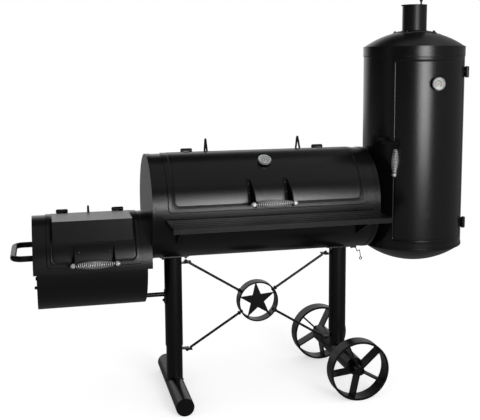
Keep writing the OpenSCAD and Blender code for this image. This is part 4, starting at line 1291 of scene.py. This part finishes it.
@dataclass
class CurvedEars:
    """The two handle ears of the main lid: plates with a bowed front edge and a flange along the lid."""

    top: float = 34.0
    low: float = 5.5
    thick: float = 0.0032
    flange: float = 0.014
    flange_thick: float = 0.002
    flange_up: float = 1.5
    bow: float = 0.34
    nose: tuple[float, float] = (0.0075, 0.012)
    heel: tuple[float, float] = (0.006, 0.013)
    bow_front: float = 0.001
    steps: int = 14

    def build(self) -> bpy.types.Object:
        """Cut the ears in the place of their CAD node.

        Returns:
            Both ears as one piece.
        """
        drum = middle("chamber_end_left")
        radius = drum.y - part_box("main_lid")[0].y
        rod = middle("main_handle_rod")
        low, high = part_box("main_handle_ears")
        sketch = Sketch()
        for x in (low.x + self.flange, high.x - self.thick / 2):
            self.plate(sketch, x, drum, radius, rod)
            self.strip(sketch, x, drum, radius)
        made = sketch.finish("main_handle_ears_bowed", Body.MAIN_LID, Slot.PAINT, SHADED_EAR_PAINT, PLATE_CREASE)
        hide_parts("main_handle_ears")
        return made

    def plate(self, sketch: Sketch, x: float, drum: Vector, radius: float, rod: Vector) -> None:
        """Cut one ear's plate.

        Args:
            sketch: The mesh that it goes into.
            x: The plate's middle along X.
            drum: A point on the drum's axis.
            radius: The lid's outer radius.
            rod: The middle of the handle's rod.
        """
        turns = [self.low + (self.top - self.low) * i / self.steps for i in range(self.steps + 1)]
        back = [self.on_lid(drum, radius, turn) for turn in turns]
        start, end = back[-1], Vector((0, rod.y - self.nose[0], rod.z - self.nose[1]))
        control = Vector((0, rod.y - self.bow_front, start.z - (start.z - end.z) * self.bow))
        front = []
        for i in range(1, self.steps + 1):
            t = i / self.steps
            front.append(start * (1 - t) ** 2 + control * (2 * t * (1 - t)) + end * t * t)
        front.append(Vector((0, rod.y + self.heel[0], rod.z - self.heel[1])))
        outline = back + front
        half = self.thick / 2
        sketch.rings([[Vector((x + side * half, p.y, p.z)) for p in outline] for side in (-1, 1)])

    def strip(self, sketch: Sketch, x: float, drum: Vector, radius: float) -> None:
        """Bend one ear's flange along the lid.

        Args:
            sketch: The mesh that it goes into.
            x: The plate's middle along X.
            drum: A point on the drum's axis.
            radius: The lid's outer radius.
        """
        rings = []
        for i in range(self.steps + 1):
            turn = self.low + self.flange_up + (self.top - self.low - self.flange_up) * i / self.steps
            inner = self.on_lid(drum, radius, turn)
            outer = self.on_lid(drum, radius + self.flange_thick, turn)
            left, right = x - self.flange, x
            section = ((left, inner), (left, outer), (right, outer), (right, inner))
            rings.append([Vector((a, p.y, p.z)) for a, p in section])
        sketch.rings(rings)

    @staticmethod
    def on_lid(drum: Vector, radius: float, turn: float) -> Vector:
        """A point on the lid in the plane x = 0, at an angle in degrees above the front."""
        angle = math.radians(turn)
        return Vector((0, drum.y - radius * math.cos(angle), drum.z + radius * math.sin(angle)))


@dataclass
class Thermometer:
    """A dial thermometer: plate, numerals, rolled bezel, needle and glass around its spindle."""

    name: str
    spindle: str
    body: Body
    upward: Vector
    plate_thick: float = 0.001
    radius: float = 0.025
    rim: float = 0.0021
    bezel: float = 0.0011
    bezel_sides: int = 12
    numeral: float = 0.0037
    numeral_in: float = 0.0115
    ink: float = 0.00005
    ink_lift: float = 0.00006
    scale_start: float = 225.0
    scale_sweep: float = 270.0
    marks: tuple[str, ...] = ("0", "100", "200", "300", "400")

    def build(self) -> list[bpy.types.Object]:
        """Print the dial and roll the bezel.

        Returns:
            The new pieces.
        """
        spindle, axis = joint_axis(self.spindle)
        out = axis if (axis.y < 0 or axis.z > 0) else -axis
        up = (self.upward - self.upward.dot(out) * out).normalized()
        low = self.lowest(out)
        plate = spindle + out * (low - spindle.dot(out))
        print_ = DialPrint(
            self.name + " dial print",
            centre=tuple(plate),
            outward=tuple(out),
            upward=tuple(up),
            plate=self.plate_thick,
            radius=self.radius - self.rim,
        )
        dress(print_, self.name + "_dial")
        # the case's neck gets painted shade below its rim
        dress(DialCase(self.name + " case", tuple(plate), tuple(out)), self.name + "_case")
        dress(GLASS, self.name + "_glass")
        dress(NEEDLE_RED, self.name + "_needle")
        return [self.numerals(plate + out * self.plate_thick, out, up), self.roll_bezel(out)]

    def lowest(self, out: Vector) -> float:
        """How far out the plate's back lies.

        Args:
            out: The outward direction.

        Returns:
            The distance along out.
        """
        return min(corner.dot(out) for corner in corners_of(self.name + "_dial"))

    def numerals(self, face: Vector, out: Vector, up: Vector) -> bpy.types.Object:
        """Print the numbers inside the scale.

        Args:
            face: The middle of the plate's face.
            out: The outward direction.
            up: The direction of the dial's top.

        Returns:
            The numerals as one mesh.
        """
        side = up.cross(out)
        sketch = Sketch()
        reach = self.radius - self.numeral_in
        for i, text in enumerate(self.marks):
            turn = math.radians(self.scale_start - self.scale_sweep * i / (len(self.marks) - 1))
            where = face + out * self.ink_lift + reach * (math.cos(turn) * side + math.sin(turn) * up)
            curve = bpy.data.curves.new("numeral", "FONT")
            curve.body, curve.size, curve.extrude = text, self.numeral, self.ink
            curve.align_x, curve.align_y = "CENTER", "CENTER"
            stand = bpy.data.objects.new("numeral", curve)
            bpy.context.scene.collection.objects.link(stand)
            bpy.context.view_layer.update()
            mesh = stand.evaluated_get(bpy.context.evaluated_depsgraph_get()).to_mesh()
            start = len(sketch.points)
            sketch.points.extend(where + v.co.x * side + v.co.y * up + v.co.z * out for v in mesh.vertices)
            sketch.faces.extend(tuple(start + k for k in p.vertices) for p in mesh.polygons)
            bpy.data.objects.remove(stand)
            bpy.data.curves.remove(curve)
        return sketch.finish(self.name + "_numerals", self.body, Slot.DIAL_FACE, NUMERAL_BLACK)

    def roll_bezel(self, out: Vector) -> bpy.types.Object:
        """Roll the round lip of the case.

        Args:
            out: The outward direction.

        Returns:
            The lip.
        """
        corners = corners_of(self.name + "_case")
        centre = middle_along(corners, out)
        top = max(p.dot(out) for p in corners)
        base = centre + out * (top - centre.dot(out) - self.bezel)
        middle_radius = self.radius - self.bezel * 1.02
        profile = []
        for i in range(self.bezel_sides):
            turn = math.tau * i / self.bezel_sides
            profile.append((middle_radius + self.bezel * math.cos(turn), self.bezel * math.sin(turn)))
        sketch = Sketch()
        sketch.turn(profile, base, out, 96)
        return sketch.finish(self.name + "_bezel", self.body, Slot.BRIGHT_STEEL, CASE_STEEL, WIRE_CREASE)


@dataclass
class CookingChamber:
    """The lying drum with its end caps, grates, ledges, hinges and the bent stops behind the lids."""

    cap_over: float = 0.0015
    rim: float = 0.018
    seam_angle: float = 205.0
    seam: WeldSeam = field(default_factory=lambda: WeldSeam(width=0.0036))

    def build(self) -> list[bpy.types.Object]:
        """Dress the drum and lay its welds.

        Returns:
            The new pieces.
        """
        dress(DRUM_PAINT, "chamber_shell", "chamber_end_left", "chamber_end_right", "grate_supports")
        dress(TUBE_PAINT, "hinge_frame_leaves", "hinge_pins")
        dress(GRATE, "cooking_grates")
        low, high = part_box("chamber_end_left")
        axis = (low + high) / 2
        radius = (high.z - low.z) / 2 - self.cap_over
        end_x = axis.x + (middle("chamber_shell").x - axis.x) * 2
        sketch = Sketch()
        turn = math.radians(self.seam_angle)
        y, z = axis.y - radius * math.cos(turn), axis.z + radius * math.sin(turn)
        self.seam.line(sketch, Vector((low.x + self.rim, y, z)), Vector((end_x - self.rim, y, z)))
        return [sketch.weld("chamber_seam", DRUM_PAINT), BentStop().build()]


@dataclass
class MainLid:
    """The curved lid over the chamber, its handle and its thermometer."""

    turns: float = 20.0

    def build(self) -> list[bpy.types.Object]:
        """Dress the lid, wind its grip and print its dial.

        Returns:
            The new pieces.
        """
        panel = PressedPanel("main_lid", Body.MAIN_LID, middle("chamber_end_left"), X_AXIS, DRUM_PAINT)
        dress(TUBE_PAINT, "main_hinge_leaves")
        dress(DARK_STEEL, "main_lid_rivets")
        grip = CoilGrip("main_handle_spring", Body.MAIN_LID, X_AXIS, self.turns, "main_handle_rod")
        dial = Thermometer("main_thermometer", "main_needle_spindle", Body.MAIN_LID, Vector((0, 0.3, 1)))
        return [panel.build(), CurvedEars().build(), grip.build(), *dial.build()]


@dataclass
class FireBox:
    """The fire box with its hood, grate, pull handle and air vent."""

    handle_radius: float = 0.011
    foot_inset: float = 0.017
    flange_thick: float = 0.0032
    bead_out: float = 0.0008
    seam: WeldSeam = field(default_factory=WeldSeam)

    def build(self) -> list[bpy.types.Object]:
        """Dress the box and weld its pull handle to the flanges.

        Returns:
            The new pieces.
        """
        dress(FIRE_PAINT, "firebox_body", "firebox_hood")
        dress(TUBE_PAINT, "pull_handle", "vent_damper")
        dress(GRATE, "charcoal_grate")
        low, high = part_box("pull_handle")
        flange_x = high.x - self.flange_thick
        sketch = Sketch()
        for y in (low.y + self.foot_inset, high.y - self.foot_inset):
            centre = Vector((flange_x, y, (low.z + high.z) / 2))
            self.seam.ring(sketch, centre, X_AXIS, self.handle_radius + self.bead_out)
        return [sketch.weld("pull_handle_welds", TUBE_PAINT)]


@dataclass
class FireBoxLid:
    """The fire box lid with its flat-topped box, riveted bracket and grip."""

    turns: float = 20.0

    def build(self) -> list[bpy.types.Object]:
        """Dress the lid, press its panel and wind its grip.

        Returns:
            The new pieces.
        """
        dress(FIRE_PAINT, "firebox_lid_box")
        low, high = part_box("firebox_body")
        axis = Vector(((low.x + high.x) / 2, (low.y + high.y) / 2, low.z + (high.y - low.y) / 2))
        panel = PressedPanel(
            "firebox_lid", Body.FIREBOX_LID, axis, X_AXIS, FIRE_PAINT, inset=0.018, groove_corner=0.02
        )
        dress(TUBE_PAINT, "firebox_hinge_leaves", "firebox_handle_bracket")
        dress(DARK_STEEL, "firebox_lid_rivets")
        rod = "firebox_handle_rod"
        grip = CoilGrip("firebox_handle_spring", Body.FIREBOX_LID, X_AXIS, self.turns, rod)
        return [panel.build(), grip.build()]


@dataclass
class Tower:
    """The upright smoking tower with its racks, domed top, dished bottom and chimney."""

    chimney_radius: float = 0.049
    flange_lift: float = 0.0022
    bead_out: float = 0.0004
    bead_drop: float = 0.0004
    bead_in: float = 0.0008
    seam_foot: float = 0.012
    seam_below: float = 0.002
    seam_angle: float = 100.0
    seam: WeldSeam = field(default_factory=lambda: WeldSeam(width=0.004))

    def build(self) -> list[bpy.types.Object]:
        """Dress the tower and lay its seams.

        Returns:
            The new pieces.
        """
        dress(DRUM_PAINT, "tower_shell", "tower_bottom", "tower_top")
        dress(CHIMNEY_PAINT, "chimney_pipe", "chimney_cap")
        dress(TUBE_PAINT, "door_keeper")
        dress(GRATE, "smoking_racks")
        low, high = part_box("tower_shell")
        axis = (low + high) / 2
        radius = (high.y - low.y) / 2
        turn = math.radians(self.seam_angle)
        x, y = axis.x + radius * math.cos(turn), axis.y + radius * math.sin(turn)
        seams = Sketch()
        skirt, crown = (corner.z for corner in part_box("tower_top"))
        under = Vector((axis.x, axis.y, skirt - self.bead_drop))
        self.seam.ring(seams, under, Z_AXIS, radius - self.bead_in)
        self.seam.line(seams, Vector((x, y, low.z + self.seam_foot)), Vector((x, y, skirt - self.seam_below)))
        welds = Sketch()
        foot = Vector((axis.x, axis.y, crown + self.flange_lift))
        self.seam.ring(welds, foot, Z_AXIS, self.chimney_radius + self.bead_out)
        return [seams.weld("tower_seam", DRUM_PAINT), welds.weld("chimney_weld", DRUM_PAINT)]


@dataclass
class TowerDoor:
    """The curved tower door with its hinges, thermometer and sprung latch."""

    latch_turns: float = 15.0
    nut_radius: float = 0.0085
    nut_length: float = 0.0155
    nut_gap: float = 0.0004
    nut_collar: float = 0.45

    def build(self) -> list[bpy.types.Object]:
        """Dress the door and wind the latch's grip.

        Returns:
            The new pieces.
        """
        panel = PressedPanel(
            "tower_door",
            Body.TOWER_DOOR,
            middle("tower_shell"),
            Z_AXIS,
            DRUM_PAINT,
            inset=0.0105,
            corner=0.008,
            groove_corner=0.012,
            grow_along=(0.018, 0.010),
            grow_around=(0.014, 0.0),
        )
        dress(TUBE_PAINT, "door_hinge_leaves", "latch_base", "latch_lever", "drain_hook")
        grip = CoilGrip("latch_spring", Body.LATCH, self.latch_axis(), self.latch_turns)
        dial = Thermometer("tower_thermometer", "tower_needle_spindle", Body.TOWER_DOOR, Z_AXIS)
        return [panel.build(), grip.build(), self.cap_nut(), *dial.build()]

    def cap_nut(self) -> bpy.types.Object:
        """Turn the domed nut that holds the latch's grip on its rod.

        Returns:
            The nut.
        """
        down = self.latch_axis()
        corners = corners_of("latch_spring")
        centre = middle_along(corners, down)
        start = centre + down * (max((p - centre).dot(down) for p in corners) + self.nut_gap)
        r, tall, collar = self.nut_radius, self.nut_length, self.nut_collar
        profile = [(0.001, 0.0), (r * 0.9, 0.0), (r, 0.001), (r, tall * collar)]
        dome = (0.4, 0.8, 1.15, 1.45)
        profile += [(r * math.cos(t), tall * (collar + (1 - collar) * math.sin(t))) for t in dome]
        sketch = Sketch()
        sketch.turn(profile + [(0.001, tall)], start, down, 32)
        return sketch.finish("latch_cap_nut", Body.LATCH, Slot.BRIGHT_STEEL, NUT_STEEL, SHEET_CREASE)

    def latch_axis(self) -> Vector:
        """The direction of the latch's grip, from its coil's first ring to its last.

        Returns:
            A unit vector, pointing down.
        """
        corners = sorted(corners_of("latch_spring"), key=lambda p: p.z)
        share = max(12, len(corners) // 12)
        low = sum(corners[:share], Vector()) / share
        high = sum(corners[-share:], Vector()) / share
        return (low - high).normalized()


@dataclass
class WheeledFrame:
    """Legs, foot tube, axle, wheels, star brace, strut and their welds."""

    leg_radius: float = 0.035
    stub_radius: float = 0.0324
    saddle_radius: float = 0.206
    front_out: float = 0.007
    front_turn: float = 42.0
    back_out: float = 0.0008
    back_turn: float = 64.0
    seam: WeldSeam = field(default_factory=lambda: WeldSeam(width=0.006, wave=0.004))

    def build(self) -> list[bpy.types.Object]:
        """Dress the frame and weld it.

        Returns:
            The new pieces.
        """
        dress(TUBE_PAINT, "leg_left", "leg_right", "foot_tube", "axle_tube", "axle")
        dress(TUBE_PAINT, "brace_rods", "firebox_strut", "frame_bolts")
        front = BandWheel("wheel_front", Body.FRONT_WHEEL, self.front_turn, -self.front_out)
        back = BandWheel("wheel_back", Body.BACK_WHEEL, self.back_turn, self.back_out)
        return [self.leg_welds(), StarBrace().build(), front.build(), back.build()]

    def leg_welds(self) -> bpy.types.Object:
        """Weld the legs under their saddles and the posts on the two cross tubes.

        Returns:
            The welds as one piece.
        """
        drum = middle("chamber_end_left")
        sketch = Sketch()
        for leg, cross in (("leg_left", "foot_tube"), ("leg_right", "axle_tube")):
            foot = Vector((self.leg_x(leg), drum.y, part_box(leg)[0].z))
            cross_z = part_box(cross)[0].z + self.leg_radius

            def under_saddle(_x: float, y: float) -> float:
                """Height of the saddle's underside."""
                return drum.z - math.sqrt(self.saddle_radius**2 - y * y)

            def on_cross(x: float, _y: float, middle_z: float = cross_z) -> float:
                """Height of the cross tube's top."""
                return middle_z + math.sqrt(self.leg_radius**2 - x * x)

            self.seam.saddle(sketch, under_saddle, foot, self.leg_radius)
            self.seam.saddle(sketch, on_cross, foot, self.stub_radius)
        return sketch.weld("leg_welds", TUBE_PAINT)

    @staticmethod
    def leg_x(leg: str) -> float:
        """Where a leg's axis lies along X, from the middle of its lowest points.

        Args:
            leg: The leg's node.

        Returns:
            The place along X.
        """
        corners = corners_of(leg)
        floor = min(p.z for p in corners)
        foot = [p.x for p in corners if p.z < floor + 0.001]
        return (min(foot) + max(foot)) / 2


@dataclass
class FrontShelf:
    """The slatted shelf in front of the chamber and its two gussets."""

    bead_below: float = 0.0034
    bead_beside: float = 0.0042
    front_free: float = 0.02
    back_free: float = 0.045
    seam: WeldSeam = field(default_factory=lambda: WeldSeam(width=0.003))

    def build(self) -> list[bpy.types.Object]:
        """Dress the shelf and its gussets, and weld the slats' ends.

        Returns:
            The new pieces.
        """
        dress(TUBE_PAINT, "front_shelf", "shelf_brackets")
        low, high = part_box("front_shelf")
        sketch = Sketch()
        z = high.z - self.bead_below
        for x in (low.x + self.bead_beside, high.x - self.bead_beside):
            front, back = low.y + self.front_free, high.y - self.back_free
            self.seam.line(sketch, Vector((x, front, z)), Vector((x, back, z)))
        return [sketch.weld("shelf_welds", TUBE_PAINT)]


# ---- studio ----


@dataclass
class SoftBox:
    """A flat studio lamp that faces a point."""

    name: str
    place: Triple
    target: Triple
    width: float
    height: float
    power: float

    def build(self) -> None:
        """Hang the lamp and aim it."""
        light = bpy.data.lights.new(self.name, "AREA")
        light.shape, light.size, light.size_y, light.energy = "RECTANGLE", self.width, self.height, self.power
        lamp = bpy.data.objects.new(self.name, light)
        lamp.location = self.place
        aim = Vector(self.target) - Vector(self.place)
        lamp.rotation_euler = aim.to_track_quat("-Z", "Y").to_euler()
        lamp.visible_camera = False
        bpy.context.scene.collection.objects.link(lamp)


@dataclass
class Studio:
    """Pale floor, surroundings that are white to the eye, soft lamps and the camera.

    The world is white to the camera and through glass. In reflections it is white only behind the object,
    dimmer at its right and nearly black elsewhere, and the floor is dim there too, so that black stays black.
    """

    eye: Triple = (-0.7828, -3.1339, 1.3308)
    yaw: float = 12.95
    pitch: float = 7.45
    roll: float = -0.46
    lens: float = 62.455
    shift: tuple[float, float] = (0.0128, -0.0892)
    ambient: float = 0.5
    around: float = 0.02
    behind: float = 1.0
    behind_edge: tuple[float, float] = (0.78, 1.0)
    beside: float = 0.24
    beside_edge: tuple[float, float] = (0.2, 0.5)
    floor_reach: float = 14.0
    floor_fade: tuple[float, float] = (1.9, 3.6)
    far_floor: float = 0.24
    near_floor: float = 0.12
    floor_colour: Triple = (0.82, 0.82, 0.82)
    floor_bounce: Triple = (0.03, 0.03, 0.03)
    floor_glow: float = 0.58
    lamps: tuple[SoftBox, ...] = (
        SoftBox("key softbox", (0.7, -3.3, 1.14), (0.25, 0.0, 0.8), 1.3, 1.06, 45.0),
        SoftBox("upper softbox", (0.64, -3.2, 2.0), (0.25, 0.0, 0.8), 1.15, 0.7, 8.0),
        SoftBox("top softbox", (0.3, -0.75, 3.3), (0.3, -0.7, 0.8), 3.4, 3.6, 9.5),
        SoftBox("left softbox", (-3.2, -0.6, 1.5), (0.0, 0.0, 0.8), 1.4, 1.8, 0.8),
    )

    def build(self) -> None:
        """Set up the world, the floor, the lamps and the camera."""
        self.world()
        self.floor()
        for lamp in self.lamps:
            lamp.build()
        self.camera()
        bpy.context.scene.view_settings.view_transform = "Standard"

    def world(self) -> None:
        """White to the eye and through glass, dimmer as a light and in most reflections."""
        world = bpy.data.worlds.new("studio")
        bpy.context.scene.world = world
        world.use_nodes = True
        board = Board(world.node_tree)
        seen, glossy = board.ray("Is Camera Ray"), board.ray("Is Glossy Ray")
        through = board.ray("Is Transmission Ray")
        towards = board.node("ShaderNodeTexCoord", {}, {}, "Generated")
        behind = board.vector("DOT_PRODUCT", towards, Y_AXIS, "Value").between(*self.behind_edge)
        beside = board.vector("DOT_PRODUCT", towards, X_AXIS, "Value").between(*self.beside_edge)
        mirrored = self.around + behind * self.behind + beside * self.beside
        light = self.ambient + glossy * (mirrored - self.ambient)
        strength = light + (seen + through) * (1.0 - light)
        inputs = {"Color": (1, 1, 1, 1), "Strength": strength}
        back = board.node("ShaderNodeBackground", {}, inputs, "Background")
        board.node("ShaderNodeOutputWorld", {}, {"Surface": back})

    def floor(self) -> None:
        """A wide pale floor that keeps the object's shadow."""
        mesh = bpy.data.meshes.new("floor")
        reach = self.floor_reach
        corners = [(-reach, -reach, 0), (reach, -reach, 0), (reach, reach, 0), (-reach, reach, 0)]
        mesh.from_pydata(corners, [], [(0, 1, 2, 3)])
        floor = bpy.data.objects.new("floor", mesh)
        bpy.context.scene.collection.objects.link(floor)
        material = bpy.data.materials.new("pale floor")
        material.use_nodes = True
        board = Board(material.node_tree)
        seen, glossy = board.ray("Is Camera Ray"), board.ray("Is Glossy Ray")
        colour = board.blend(seen, self.floor_bounce, self.floor_colour)
        matt = board.node("ShaderNodeBsdfDiffuse", {}, {"Color": colour}, "BSDF")
        lift = seen * self.floor_glow + glossy * self.near_floor
        glow = board.node("ShaderNodeEmission", {}, {"Color": (1, 1, 1, 1), "Strength": lift})
        both = board.node("ShaderNodeAddShader", {}, {0: matt, 1: glow})
        far = board.vector("LENGTH", board.place(), output="Value").between(*self.floor_fade)
        share = seen * (1.0 - self.far_floor) + self.far_floor
        white = board.node("ShaderNodeEmission", {}, {"Color": (1, 1, 1, 1), "Strength": share})
        mixed = board.node("ShaderNodeMixShader", {}, {0: far, 1: both, 2: white})
        board.node("ShaderNodeOutputMaterial", {}, {"Surface": mixed})
        mesh.materials.append(material)

    def camera(self) -> None:
        """Set the camera at a standing person's eye, turned and tilted."""
        data = bpy.data.cameras.new("camera")
        data.sensor_fit, data.sensor_width, data.lens = "HORIZONTAL", 36.0, self.lens
        data.shift_x, data.shift_y = self.shift
        data.clip_start, data.clip_end = 0.05, 100.0
        camera = bpy.data.objects.new("camera", data)
        turn = (
            Matrix.Rotation(math.radians(-self.yaw), 4, "Z")
            @ Matrix.Rotation(math.radians(90 - self.pitch), 4, "X")
            @ Matrix.Rotation(math.radians(self.roll), 4, "Z")
        )
        camera.matrix_world = Matrix.Translation(self.eye) @ turn
        bpy.context.scene.collection.objects.link(camera)
        bpy.context.scene.camera = camera


def main() -> None:
    logging.basicConfig(level=logging.INFO, format="%(name)s: %(message)s")
    Studio().build()
    for node in frame["nodes"].values():
        soften(node)
    chambers = (CookingChamber(), MainLid(), FireBox(), FireBoxLid(), Tower(), TowerDoor())
    for part in (*chambers, WheeledFrame(), FrontShelf()):
        for piece in part.build():
            LOG.info("%s: %s, %d faces", type(part).__name__, piece.name, len(piece.data.polygons))


if __name__ == "__main__":
    main()
